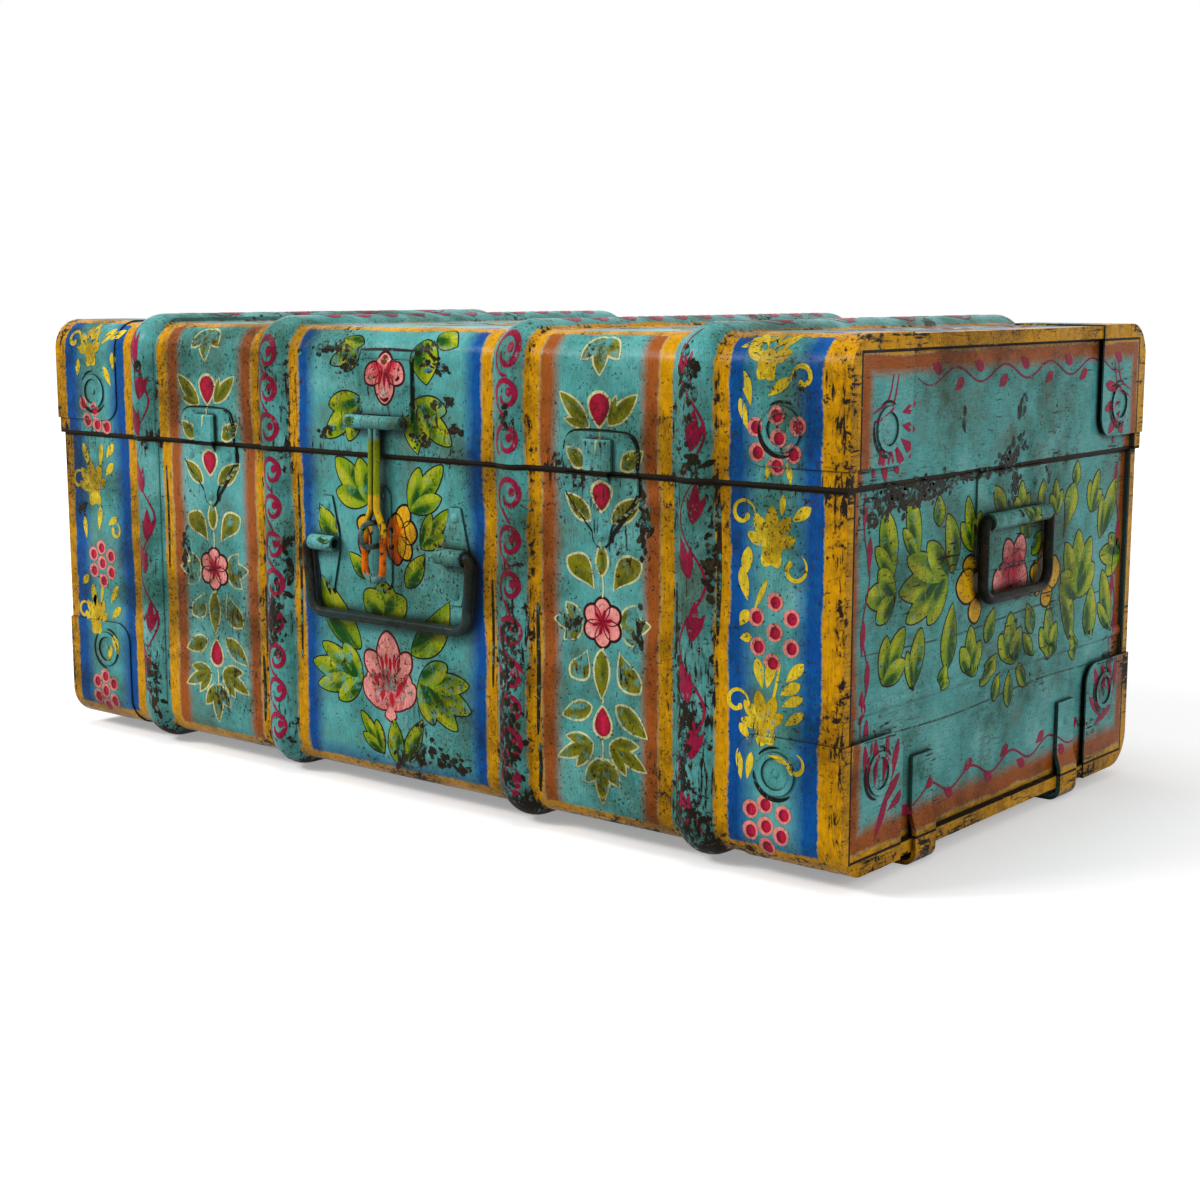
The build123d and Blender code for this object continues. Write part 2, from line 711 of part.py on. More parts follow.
def gaps_between(spans):
    """The stretches of the hinge's length that none of the spans covers, run out past its ends."""
    half = hinge_length / 2
    edges = [-hinge_length, *(edge for span in spans for edge in span), hinge_length]
    return [(low, high) for low, high in zip(edges[::2], edges[1::2]) if high > -half and low < half]


def hinge_rivets(x, up, face_y):
    """Two heads on a leaf."""
    z = seam_z + up * (hinge_leaf_height - hinge_rivet_edge)
    y = face_y + plate_thickness
    offset = hinge_length / 2 - hinge_rivet_inset
    return [rivet_head(rivet_radius, rivet_height, (x + side * offset, y, z), (0, 1, 0)) for side in (-1, 1)]


# ---------------------------------------------------------------- the body's pieces

save("body_wrap", folded_sheet(half_width, half_depth, seam_z, floor_z, 0))
body_end = end_panel(half_width, half_depth, seam_z, floor_z, 0, True)
save("body_end_right", body_end)
save("body_end_left", mirrored_x(body_end))
save("rim_lip", rim_lip())
save_corner_caps("body", half_width, half_depth, seam_z, floor_z, body_cap_reach_z, floor_z + body_ring_z)

save("runner_front", Pos(0, -runner_offset_y, 0) * runner())
save("runner_rear", Pos(0, runner_offset_y, 0) * runner())
save("runner_rivets", *runner_rivets())

bracket = handle_bracket()
save("handle_bracket_right", bracket)
save("handle_bracket_left", mirrored_x(bracket))
save("handle_bracket_rivets", *handle_bracket_rivets())
plate_on_end = side_plate()
save("side_plate_right", plate_on_end)
save("side_plate_left", mirrored_x(plate_on_end))
save("side_plate_rivets", *side_plate_rivets())

save("staple_plate", staple_plate())
save("staple", staple())
save("staple_rivets", *staple_rivets())

tongue = dowel_tongue()
save("dowel_tongue_left", Pos(-dowel_x, 0, 0) * tongue)
save("dowel_tongue_right", Pos(dowel_x, 0, 0) * tongue)
save("dowel_tongue_rivets", *dowel_tongue_rivets(-dowel_x), *dowel_tongue_rivets(dowel_x))

middle = hinge_knuckle_share / 2
outer_knuckles = (
    (-hinge_length / 2, -middle - hinge_knuckle_gap),
    (middle + hinge_knuckle_gap, hinge_length / 2),
)
body_leaf = hinge_leaf(-1, half_depth, outer_knuckles)
lid_leaf = hinge_leaf(1, lid_half_depth, ((-middle, middle),))
pin = rod_x(-hinge_length / 2, hinge_length / 2, hinge_y, seam_z, hinge_pin_radius)
for side, x in (("left", -hinge_x), ("right", hinge_x)):
    save(f"hinge_leaf_body_{side}", Pos(x, 0, 0) * body_leaf)
    save(f"hinge_leaf_lid_{side}", Pos(x, 0, 0) * lid_leaf)
    save(f"hinge_pin_{side}", Pos(x, 0, 0) * pin)
save("hinge_rivets_body", *hinge_rivets(-hinge_x, -1, half_depth), *hinge_rivets(hinge_x, -1, half_depth))

# ---------------------------------------------------------------- the lid's pieces

save("lid_wrap", folded_sheet(lid_half_width, lid_half_depth, seam_z, top_z, lip_clearance))
lid_end = end_panel(lid_half_width, lid_half_depth, seam_z, top_z, lip_clearance, False)
save("lid_end_right", lid_end)
save("lid_end_left", mirrored_x(lid_end))
save_corner_caps("lid", lid_half_width, lid_half_depth, seam_z, top_z, lid_cap_reach_z, seam_z + lid_ring_z)
save("hasp_plate", hasp_plate())
save("hasp_plate_rivets", *hasp_plate_rivets())
save("hasp_pin", rod_x(hasp_barrel_left, hasp_barrel_right, hasp_pivot_y, hasp_pivot_z, hasp_pin_radius))
socket = dowel_socket()
save("dowel_socket_left", Pos(-dowel_x, 0, 0) * socket)
save("dowel_socket_right", Pos(dowel_x, 0, 0) * socket)
save("dowel_socket_rivets", *dowel_socket_rivets(-dowel_x), *dowel_socket_rivets(dowel_x))
hinge_rivets_left = hinge_rivets(-hinge_x, 1, lid_half_depth)
hinge_rivets_right = hinge_rivets(hinge_x, 1, lid_half_depth)
save("hinge_rivets_lid", *hinge_rivets_left, *hinge_rivets_right)

# ---------------------------------------------------------------- the pieces that swing

save("hasp", hasp())
front_place = Pos(0, front_pivot_y, front_pivot_z)
save("front_bail", front_place * bail(front_bail_width, front_bail_taper))
side_bail = Pos(side_pivot_x, side_handle_offset, side_pivot_z) * Rot(0, 0, 90) * bail(side_bail_width, 0)
save("side_bail_right", side_bail)
save("side_bail_left", mirrored_x(side_bail))

print(f"origin_shift {origin_shift:.4f}")
for label, x, y, z in (
    ("lid hinge", 0, hinge_y, seam_z),
    ("hasp", hasp_x, hasp_pivot_y, hasp_pivot_z),
    ("front bail", 0, front_pivot_y, front_pivot_z),
    ("side bail", side_pivot_x, side_handle_offset, side_pivot_z),
):
    print(f"{label} axis at {x:.4f}, {y + origin_shift:.4f}, {z:.4f}")
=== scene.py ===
"""The looks of a small tin trunk: hand-painted enamel over ribbed sheet, worn wire and a soft studio."""

import json
from math import pi, radians, tau

import bpy
import numpy as np
from mathutils import Matrix, Vector


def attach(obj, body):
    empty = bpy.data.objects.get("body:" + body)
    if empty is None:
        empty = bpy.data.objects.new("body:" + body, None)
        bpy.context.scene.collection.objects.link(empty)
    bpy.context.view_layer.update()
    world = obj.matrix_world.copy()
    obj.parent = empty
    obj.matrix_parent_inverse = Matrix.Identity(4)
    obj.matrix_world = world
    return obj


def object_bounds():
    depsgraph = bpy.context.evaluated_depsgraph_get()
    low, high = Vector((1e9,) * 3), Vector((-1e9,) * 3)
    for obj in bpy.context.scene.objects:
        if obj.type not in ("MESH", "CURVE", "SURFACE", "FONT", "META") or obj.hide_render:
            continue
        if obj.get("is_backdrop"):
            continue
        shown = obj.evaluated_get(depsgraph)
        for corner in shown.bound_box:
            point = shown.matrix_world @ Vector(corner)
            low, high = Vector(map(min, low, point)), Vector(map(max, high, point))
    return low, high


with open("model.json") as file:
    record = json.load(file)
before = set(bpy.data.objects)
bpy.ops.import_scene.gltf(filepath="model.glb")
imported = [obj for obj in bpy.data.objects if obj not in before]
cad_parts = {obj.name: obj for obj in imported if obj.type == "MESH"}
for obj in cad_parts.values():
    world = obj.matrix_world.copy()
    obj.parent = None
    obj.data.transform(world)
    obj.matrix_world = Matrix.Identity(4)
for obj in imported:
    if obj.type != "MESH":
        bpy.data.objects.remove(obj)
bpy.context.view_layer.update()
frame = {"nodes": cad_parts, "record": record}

MM = 0.001

# Places of the sheet work, in millimetres, above the floor and from the middle of the trunk
MIDDLE_Y = 3.775
HALF_WIDTH = 250.0
BODY_HALF_DEPTH = 133.0
LID_HALF_DEPTH = 134.5
FLOOR_Z = 6.5
SEAM_Z = 163.5
TOP_Z = 223.5
EDGE_RADIUS = 15.0
INNER_RIB = 78.0
OUTER_RIB = 178.0
SPRIG_PANEL = 128.0
CORNER_PANEL = 219.0
RIB_HALF = 9.5
LID_OVERHANG = LID_HALF_DEPTH - BODY_HALF_DEPTH
END_FACE_X = 247.3

# Paints, as sRGB hex
TEAL = "#4D9A98"
TEAL_PALE = "#70B0AC"
TEAL_GRIMY = "#54786C"
TEAL_DEEP = "#326663"
YELLOW = "#D29600"
YELLOW_DEEP = "#A87400"
BROWN = "#9A4E10"
BLUE = "#004690"
AZURE = "#0068A2"
MAGENTA = "#84143A"
CRIMSON = "#96183E"
BERRY = "#B81C3C"
BERRY_RIM = "#DC8478"
OLIVE = "#7A780C"
OLIVE_DARK = "#525A0E"
CREAM = "#C4C694"
LEAF = "#7C9A06"
LEAF_PALE = "#A8AE1C"
LEAF_DARK = "#0A4A0A"
PINK = "#EA948E"
ROSE = "#C01C34"
ORANGE = "#D8660E"
FLOWER_YELLOW = "#DABE2C"
FLOWER_DEEP = "#C4A21A"
INK_AND_SHADOW = "#14120D"
GRIME_AND_SHADE = "#201A12"
RUST = "#3E2C1C"
STEEL = "#6E6A62"
OLD_VARNISH = "#8F8C74"
GARNET = "#8A1030"
WINE = "#4A0E16"
MAROON = "#5A1420"
CHERRY = "#A00C30"
CHERRY_PALE = "#A80C30"
CARMINE = "#A80E34"
PLUM = "#7E1030"
MULBERRY = "#6E0A24"
SEPIA = "#6A3A1C"
BURNT_ORANGE = "#8E2A0A"
AMBER = "#D8A01A"
SAFFRON = "#E4AE0C"
CREASE_SHADE_GREEN = "#3A5248"
FLAKES = (GRIME_AND_SHADE, GRIME_AND_SHADE, "#241E14", "#36321F")


def linear(code):
    """A hex sRGB colour as linear red, green and blue."""
    parts = np.array([int(code[i:i + 2], 16) / 255 for i in (1, 3, 5)])
    return np.where(parts <= 0.04045, parts / 12.92, ((parts + 0.055) / 1.055) ** 2.4)


def rgba(code):
    """A hex sRGB colour as a shader socket wants it."""
    return (*linear(code), 1.0)


def add(tree, kind, inputs=None, out=None, **settings):
    """Adds a node with its settings, and its inputs as values or links. Gives the node, or its output out."""
    made = tree.nodes.new(kind)
    for name, value in settings.items():
        setattr(made, name, value)
    for key, value in (inputs or {}).items():
        if isinstance(value, bpy.types.NodeSocket):
            tree.links.new(value, made.inputs[key])
        else:
            made.inputs[key].default_value = value
    return made if out is None else made.outputs[out]


MATH = "ShaderNodeMath"
RANGE = "ShaderNodeMapRange"
NOISE = "ShaderNodeTexNoise"
MIX = "ShaderNodeMix"
VECTOR = "ShaderNodeVectorMath"


# ---------------------------------------------------------------- paint, wear and painted shade


def position(tree):
    """Where a point of the surface is, in millimetres, and which way the surface faces there."""
    coord = add(tree, "ShaderNodeTexCoord")
    mm = add(tree, VECTOR, {0: coord.outputs["Object"], 3: 1 / MM}, out=0, operation="SCALE")
    return mm, coord.outputs["Normal"]


def wear_and_shade_group():
    """Old enamel, brushed on tin by hand and rubbed for years. It dulls and darkens in patches, shows its
    brush strokes and chips down to dark metal, so the eye sees a broken sheen and ragged dark edges. It also
    paints shade into every crease and against every fitting."""
    tree = bpy.data.node_groups.new("worn_and_shaded_enamel", "ShaderNodeTree")
    face = tree.interface
    face.new_socket("Paint", in_out="INPUT", socket_type="NodeSocketColor")
    face.new_socket("Chipping", in_out="INPUT", socket_type="NodeSocketFloat")
    face.new_socket("Color", in_out="OUTPUT", socket_type="NodeSocketColor")
    face.new_socket("Roughness", in_out="OUTPUT", socket_type="NodeSocketFloat")
    face.new_socket("Height", in_out="OUTPUT", socket_type="NodeSocketFloat")
    given = add(tree, "NodeGroupInput")
    mm, normal = position(tree)
    # Dirt that has settled in patches about 60 mm across, and finer smears about 12 mm across
    patch = add(tree, NOISE, {"Vector": mm, "Scale": 0.017, "Detail": 5.0, "Roughness": 0.6}, out="Fac")
    smear = add(tree, NOISE, {"Vector": mm, "Scale": 0.085, "Detail": 6.0, "Roughness": 0.7}, out="Fac")
    both = add(tree, MATH, {0: smear, 1: 0.45, 2: patch}, out=0, operation="MULTIPLY_ADD")
    dirt = add(tree, RANGE, {0: both, 1: 0.62, 2: 0.9, 3: 0.0, 4: 0.8}, out=0,
               interpolation_type="SMOOTHSTEP")
    dull = add(tree, MIX, {0: 1.0, 6: given.outputs["Paint"], 7: rgba(OLD_VARNISH)}, out=2, data_type="RGBA",
               blend_type="MULTIPLY")
    aged = add(tree, MIX, {0: dirt, 6: given.outputs["Paint"], 7: dull}, out=2, data_type="RGBA")
    # Brush strokes about 1 mm wide, down the front and back and along the ends
    faced = add(tree, "ShaderNodeSeparateXYZ", {0: normal})
    outward = add(tree, MATH, {0: faced.outputs[0]}, out=0, operation="ABSOLUTE")
    on_end = add(tree, MATH, {0: outward, 1: 0.8}, out=0, operation="GREATER_THAN")
    lie = add(tree, MIX, {0: on_end, 4: (1.3, 1.3, 0.2), 5: (1.3, 0.14, 1.5)}, out=1, data_type="VECTOR")
    comb = add(tree, VECTOR, {0: mm, 1: lie}, out=0, operation="MULTIPLY")
    brush = add(tree, NOISE, {"Vector": comb, "Scale": 1.0, "Detail": 3.0, "Roughness": 0.6}, out="Fac")
    stroke = add(tree, RANGE, {0: brush, 1: 0.3, 2: 0.72, 3: 0.78, 4: 1.18}, out=0)
    brushed = add(tree, VECTOR, {0: aged, 3: stroke}, out=0, operation="SCALE")
    # Dark specks under 1 mm, where the paint is dirtiest
    grain = add(tree, NOISE, {"Vector": mm, "Scale": 0.8, "Detail": 2.0, "Roughness": 0.5}, out="Fac")
    speckle = add(tree, MATH, {0: patch, 1: 0.35, 2: grain}, out=0, operation="MULTIPLY_ADD")
    speck = add(tree, RANGE, {0: speckle, 1: 0.79, 2: 0.86, 3: 0.0, 4: 0.85}, out=0)
    # Painted shade in every crease and against every fitting, up to 6 mm from it, found by ambient
    # occlusion and broken up by the smears
    open_sky = add(tree, "ShaderNodeAmbientOcclusion", {"Distance": 6.0 * MM}, out="AO", samples=6)
    shut = add(tree, MATH, {0: smear, 1: 0.5, 2: open_sky}, out=0, operation="MULTIPLY_ADD")
    crevice_shade = add(tree, RANGE, {0: shut, 1: 1.10, 2: 0.78, 3: 0.0, 4: 0.94}, out=0)
    specks_and_shade = add(tree, MATH, {0: crevice_shade, 1: speck}, out=0, operation="MAXIMUM")
    soiled_and_shaded = add(tree, MIX, {0: specks_and_shade, 6: brushed, 7: rgba(GRIME_AND_SHADE)}, out=2, data_type="RGBA")
    # Chips 1 to 8 mm across, in crowds where the Chipping value is high, and scrapes that are five times as
    # long as they are wide
    chip = add(tree, NOISE, {"Vector": mm, "Scale": 0.2, "Detail": 7.0, "Roughness": 0.68}, out="Fac")
    crowd = add(tree, NOISE, {"Vector": mm, "Scale": 0.028, "Detail": 2.0, "Roughness": 0.5}, out="Fac")
    drawn = add(tree, VECTOR, {0: comb, 1: (0.37, 0.5, 0.5)}, out=0, operation="MULTIPLY")
    scrape = add(tree, NOISE, {"Vector": drawn, "Scale": 1.0, "Detail": 6.0, "Roughness": 0.62}, out="Fac")
    marred = add(tree, MATH, {0: chip, 1: scrape}, out=0, operation="MAXIMUM")
    field = add(tree, MATH, {0: crowd, 1: 0.5, 2: marred}, out=0, operation="MULTIPLY_ADD")
    raised = add(tree, MATH, {0: field, 1: given.outputs["Chipping"]}, out=0, operation="ADD")
    gone = add(tree, RANGE, {0: raised, 1: 0.95, 2: 0.965, 3: 0.0, 4: 1.0}, out=0)
    near = add(tree, RANGE, {0: raised, 1: 0.86, 2: 0.95, 3: 0.0, 4: 0.5}, out=0)
    ringed = add(tree, MIX, {0: near, 6: soiled_and_shaded, 7: rgba(RUST)}, out=2, data_type="RGBA")
    bare = add(tree, MIX, {0: gone, 6: ringed, 7: rgba(GRIME_AND_SHADE)}, out=2, data_type="RGBA")
    rough = add(tree, RANGE, {0: both, 1: 0.5, 2: 0.9, 3: 0.14, 4: 0.4}, out=0)
    rougher = add(tree, MATH, {0: gone, 1: 0.25, 2: rough}, out=0, operation="MULTIPLY_ADD")
    # Heights in millimetres: soft dents, brush marks, and chips that lie a tenth of a millimetre down
    dent = add(tree, NOISE, {"Vector": mm, "Scale": 0.03, "Detail": 1.0}, out="Fac")
    fine = add(tree, NOISE, {"Vector": mm, "Scale": 0.5, "Detail": 4.0}, out="Fac")
    dented = add(tree, MATH, {0: dent, 1: 1.6}, out=0, operation="MULTIPLY")
    pitted = add(tree, MATH, {0: fine, 1: 0.08, 2: dented}, out=0, operation="MULTIPLY_ADD")
    marked = add(tree, MATH, {0: brush, 1: 0.09, 2: pitted}, out=0, operation="MULTIPLY_ADD")
    height = add(tree, MATH, {0: gone, 1: -0.12, 2: marked}, out=0, operation="MULTIPLY_ADD")
    add(tree, "NodeGroupOutput", {"Color": bare, "Roughness": rougher, "Height": height})
    return tree


WEAR_AND_SHADE = wear_and_shade_group()


def finish_paint(material, paint, chipping):
    """Ends an enamel: wear and painted shade over the given colour, then gloss and relief. The index is an
    oil enamel's, and the specular level is low because old, unpolished paint has no clear film left on top."""
    tree = material.node_tree
    worn = add(tree, "ShaderNodeGroup", {"Paint": paint, "Chipping": chipping}, node_tree=WEAR_AND_SHADE)
    relief = add(tree, "ShaderNodeBump", {"Strength": 1.0, "Distance": MM, "Height": worn.outputs["Height"]})
    shader = add(tree, "ShaderNodeBsdfPrincipled", {
        "Base Color": worn.outputs["Color"],
        "Roughness": worn.outputs["Roughness"],
        "Normal": relief.outputs[0],
        "IOR": 1.5,
        "Specular IOR Level": 0.05,
    })
    add(tree, "ShaderNodeOutputMaterial", {"Surface": shader.outputs[0]})
    return material


def blank(name):
    """An empty node material."""
    material = bpy.data.materials.new(name)
    material.use_nodes = True
    material.node_tree.nodes.clear()
    return material


def painted_bands(tree, value, stops, full):
    """Bands of paint along a length in millimetres, from 0 to full, through (length, colour) stops."""
    part = add(tree, RANGE, {0: value, 1: 0.0, 2: full, 3: 0.0, 4: 1.0}, out=0)
    made = add(tree, "ShaderNodeValToRGB", {0: part})
    points = made.color_ramp.elements
    points[0].position, points[0].color = stops[0][0] / full, (*stops[0][1], 1.0)
    points[1].position, points[1].color = stops[-1][0] / full, (*stops[-1][1], 1.0)
    for length, colour in stops[1:-1]:
        points.new(length / full).color = (*colour, 1.0)
    return made.outputs[0]


def painted_tin():
    """Oil enamel on tinplate, brushed by hand: a teal ground with yellow, brown and blue bands beside the
    ribs. The brown and the blue are rubbed out into the ground, and the yellow ends in a ragged edge."""
    material = blank("painted_tin")
    tree = material.node_tree
    mm, normal = position(tree)
    axis = add(tree, "ShaderNodeSeparateXYZ", {0: mm})
    x, y, z = axis.outputs
    # The hand's wobble, 0.8 mm either way over 30 mm, and a ragged edge of 0.7 mm
    wobble = add(tree, NOISE, {"Vector": mm, "Scale": 0.035, "Detail": 1.0}, out="Fac")
    ragged = add(tree, NOISE, {"Vector": mm, "Scale": 0.5, "Detail": 2.0}, out="Fac")
    sway = add(tree, RANGE, {0: wobble, 1: 0.3, 2: 0.7, 3: -0.8, 4: 0.8}, out=0)
    shift = add(tree, MATH, {0: ragged, 1: 2.2, 2: sway}, out=0, operation="MULTIPLY_ADD")
    out_x = add(tree, MATH, {0: x}, out=0, operation="ABSOLUTE")
    # The left corner's yellow edge is 4.5 mm narrower than the right's
    narrower = add(tree, RANGE, {0: x, 1: -225.0, 2: -212.0, 3: -4.5, 4: 0.0}, out=0)
    uneven = add(tree, MATH, {0: shift, 1: narrower}, out=0, operation="ADD")
    band_x = add(tree, MATH, {0: out_x, 1: uneven}, out=0, operation="ADD")
    # Bands from the middle of the front outwards: where each paint begins and where it has faded or ended
    past_end = 256.0
    none, yellow, brown, blue = (0, 0, 0), (1, 0, 0), (0, 1, 0), (0, 0, 1)
    sides = painted_bands(tree, band_x, (
        (0, none), (48, none), (56, blue), (60.5, blue), (61.3, yellow), (67.6, yellow), (68.4, none),
        (87, none), (87.8, yellow), (94.6, yellow), (95.4, brown), (101, brown), (107, none),
        (149, none), (154, brown), (159.5, brown), (160.3, yellow), (167, yellow), (167.8, none),
        (188, none), (188.8, yellow), (195, yellow), (195.8, blue), (201, blue), (211, none),
        (225, none), (234, blue), (240, blue), (240.8, yellow), (past_end, yellow),
    ), past_end)
    # The ends: a frame in from the edge, by the least distance to an edge. It is wider above and below
    from_middle = add(tree, MATH, {0: y, 1: MIDDLE_Y}, out=0, operation="SUBTRACT")
    out_y = add(tree, MATH, {0: from_middle}, out=0, operation="ABSOLUTE")
    side_in = add(tree, MATH, {0: BODY_HALF_DEPTH + 1.0, 1: out_y}, out=0, operation="SUBTRACT")
    above = add(tree, MATH, {0: z, 1: FLOOR_Z}, out=0, operation="SUBTRACT")
    low_in = add(tree, MATH, {0: above, 1: 0.72}, out=0, operation="MULTIPLY")
    below = add(tree, MATH, {0: TOP_Z, 1: z}, out=0, operation="SUBTRACT")
    high_in = add(tree, MATH, {0: below, 1: 0.92}, out=0, operation="MULTIPLY")
    near_z = add(tree, MATH, {0: low_in, 1: high_in}, out=0, operation="MINIMUM")
    near_edge = add(tree, MATH, {0: near_z, 1: side_in}, out=0, operation="MINIMUM")
    inward = add(tree, MATH, {0: near_edge, 1: shift}, out=0, operation="ADD")
    ends = painted_bands(tree, inward, (
        (0, yellow), (7.4, yellow), (8.6, brown), (12.6, brown), (17, none), (30, none),
    ), 30.0)
    at_end = add(tree, MATH, {0: out_x, 1: END_FACE_X}, out=0, operation="GREATER_THAN")
    bands = add(tree, MIX, {0: at_end, 6: sides, 7: ends}, out=2, data_type="RGBA")
    split = add(tree, "ShaderNodeSeparateColor", {0: bands})
    # How far the nearest rib's middle is
    apart = []
    for middle in (INNER_RIB, OUTER_RIB):
        past = add(tree, MATH, {0: out_x, 1: middle}, out=0, operation="SUBTRACT")
        apart.append(add(tree, MATH, {0: past}, out=0, operation="ABSOLUTE"))
    rib_off = add(tree, MATH, {0: apart[0], 1: apart[1]}, out=0, operation="MINIMUM")
    rib = add(tree, MATH, {0: rib_off, 1: RIB_HALF}, out=0, operation="LESS_THAN")
    # A yellow edge low on the front and back, and a thin line along the top edges of the lid, not on the ribs
    no_rib = add(tree, MATH, {0: 1.0, 1: rib}, out=0, operation="SUBTRACT")
    low_z = add(tree, MATH, {0: z, 1: shift}, out=0, operation="ADD")
    low = add(tree, RANGE, {0: low_z, 1: 15.6, 2: 14.6, 3: 0.0, 4: 1.0}, out=0)
    beside = add(tree, RANGE, {0: out_y, 1: 116.0, 2: 118.0, 3: 0.0, 4: 1.0}, out=0)
    foot = add(tree, MATH, {0: low, 1: beside}, out=0, operation="MULTIPLY")
    line_y = add(tree, MATH, {0: out_y, 1: shift}, out=0, operation="ADD")
    line = add(tree, MATH, {0: line_y, 1: 125.5, 2: 2.2}, out=0, operation="COMPARE")
    high = add(tree, MATH, {0: z, 1: 220.0}, out=0, operation="GREATER_THAN")
    top_line = add(tree, MATH, {0: line, 1: high}, out=0, operation="MULTIPLY")
    trims = add(tree, MATH, {0: foot, 1: top_line}, out=0, operation="MAXIMUM")
    trim = add(tree, MATH, {0: trims, 1: no_rib}, out=0, operation="MULTIPLY")
    yellow_part = add(tree, MATH, {0: trim, 1: split.outputs[0]}, out=0, operation="MAXIMUM")
    # The blue also fades up from the foot of the centre panel and of the corner panels
    low_blue = add(tree, RANGE, {0: low_z, 1: 24.0, 2: 16.0, 3: 0.0, 4: 0.6}, out=0)
    centre = add(tree, MATH, {0: out_x, 1: 60.5}, out=0, operation="LESS_THAN")
    corner = add(tree, MATH, {0: out_x, 1: 218.0, 2: 22.0}, out=0, operation="COMPARE")
    panel = add(tree, MATH, {0: centre, 1: corner}, out=0, operation="ADD")
    panel_blue = add(tree, MATH, {0: panel, 1: low_blue}, out=0, operation="MULTIPLY")
    blue_part = add(tree, MATH, {0: panel_blue, 1: split.outputs[2]}, out=0, operation="MAXIMUM")
    # The ground: teal that varies from pale to deep over 40 mm, and every 3 mm a little
    tone = add(tree, NOISE, {"Vector": mm, "Scale": 0.025, "Detail": 6.0, "Roughness": 0.65}, out="Fac")
    tone_part = add(tree, RANGE, {0: tone, 1: 0.33, 2: 0.68, 3: 0.0, 4: 1.0}, out=0)
    ground = add(tree, "ShaderNodeValToRGB", {0: tone_part})
    shades = ground.color_ramp.elements
    shades[0].color, shades[1].color = rgba(TEAL_GRIMY), rgba(TEAL_PALE)
    shades.new(0.45).color = rgba(TEAL)
    fine = add(tree, NOISE, {"Vector": mm, "Scale": 0.3, "Detail": 4.0}, out="Fac")
    wash = add(tree, RANGE, {0: fine, 1: 0.4, 2: 0.7, 3: 0.0, 4: 0.7}, out=0)
    amber = add(tree, MIX, {0: wash, 6: rgba(YELLOW), 7: rgba(YELLOW_DEEP)}, out=2, data_type="RGBA")
    soft_brown = add(tree, MATH, {0: split.outputs[1], 1: 0.98}, out=0, operation="MULTIPLY")
    soft_blue = add(tree, MATH, {0: blue_part, 1: 0.98}, out=0, operation="MULTIPLY")
    with_brown = add(tree, MIX, {0: soft_brown, 6: ground.outputs[0], 7: rgba(BROWN)}, out=2,
                     data_type="RGBA")
    azure_part = add(tree, MATH, {0: tone_part, 1: wash}, out=0, operation="MULTIPLY")
    mixed_blue = add(tree, MIX, {0: azure_part, 6: rgba(BLUE), 7: rgba(AZURE)}, out=2, data_type="RGBA")
    with_blue = add(tree, MIX, {0: soft_blue, 6: with_brown, 7: mixed_blue}, out=2, data_type="RGBA")
    with_yellow = add(tree, MIX, {0: yellow_part, 6: with_blue, 7: amber}, out=2, data_type="RGBA")
    # Inside, one thin coat of dull teal: the face looks towards the middle of the box
    box_middle = (0.0, MIDDLE_Y, (FLOOR_Z + TOP_Z) / 2)
    outwards = add(tree, VECTOR, {0: mm, 1: box_middle}, out=0, operation="SUBTRACT")
    facing = add(tree, VECTOR, {0: outwards, 1: normal}, out="Value", operation="DOT_PRODUCT")
    inside = add(tree, RANGE, {0: facing, 1: 0.0, 2: -4.0, 3: 0.0, 4: 1.0}, out=0)
    colour = add(tree, MIX, {0: inside, 6: with_yellow, 7: rgba(TEAL_DEEP)}, out=2, data_type="RGBA")
    # A dark line within 1.5 mm of the seam is painted shadow of the gap under the lid's edge, with grime
    # fading out to 8 mm. The crease inside the rims of the ends gets a dark line of painted shade with grime;
    # the ribs' feet get a few more chips, partly painted shade, and chips crowd on the ribs' lower halves
    seam = add(tree, MATH, {0: z, 1: SEAM_Z}, out=0, operation="SUBTRACT")
    seam_out = add(tree, MATH, {0: seam}, out=0, operation="ABSOLUTE")
    by_seam = add(tree, RANGE, {0: seam_out, 1: 8.0, 2: 0.5, 3: 0.0, 4: 0.07}, out=0)
    seam_shadow = add(tree, RANGE, {0: seam_out, 1: 1.5, 2: 0.7, 3: 0.0, 4: 0.6}, out=0)
    seam_grime_and_shadow = add(tree, MATH, {0: by_seam, 1: seam_shadow}, out=0, operation="ADD")
    true_z = add(tree, MATH, {0: above, 1: below}, out=0, operation="MINIMUM")
    true_edge = add(tree, MATH, {0: true_z, 1: side_in}, out=0, operation="MINIMUM")
    crease = add(tree, MATH, {0: true_edge, 1: 6.3, 2: 0.6}, out=0, operation="COMPARE")
    creased = add(tree, MATH, {0: crease, 1: at_end}, out=0, operation="MULTIPLY")
    rubbed = add(tree, RANGE, {0: x, 1: -90.0, 2: 90.0, 3: 0.09, 4: 0.17}, out=0)
    lower = add(tree, RANGE, {0: z, 1: 160.0, 2: 20.0, 3: 0.03, 4: rubbed}, out=0)
    rib_wear = add(tree, MATH, {0: rib, 1: lower}, out=0, operation="MULTIPLY")
    feet = add(tree, MATH, {0: rib_off, 1: RIB_HALF + 1.1, 2: 1.1}, out=0, operation="COMPARE")
    rib_wear_and_foot_shade = add(tree, MATH, {0: feet, 1: 0.08, 2: rib_wear}, out=0, operation="MULTIPLY_ADD")
    band_wear_and_shade = add(tree, MATH, {0: yellow_part, 1: 0.03, 2: rib_wear_and_foot_shade}, out=0, operation="MULTIPLY_ADD")
    edge_wear_and_shade = add(tree, MATH, {0: creased, 1: 0.26, 2: band_wear_and_shade}, out=0, operation="MULTIPLY_ADD")
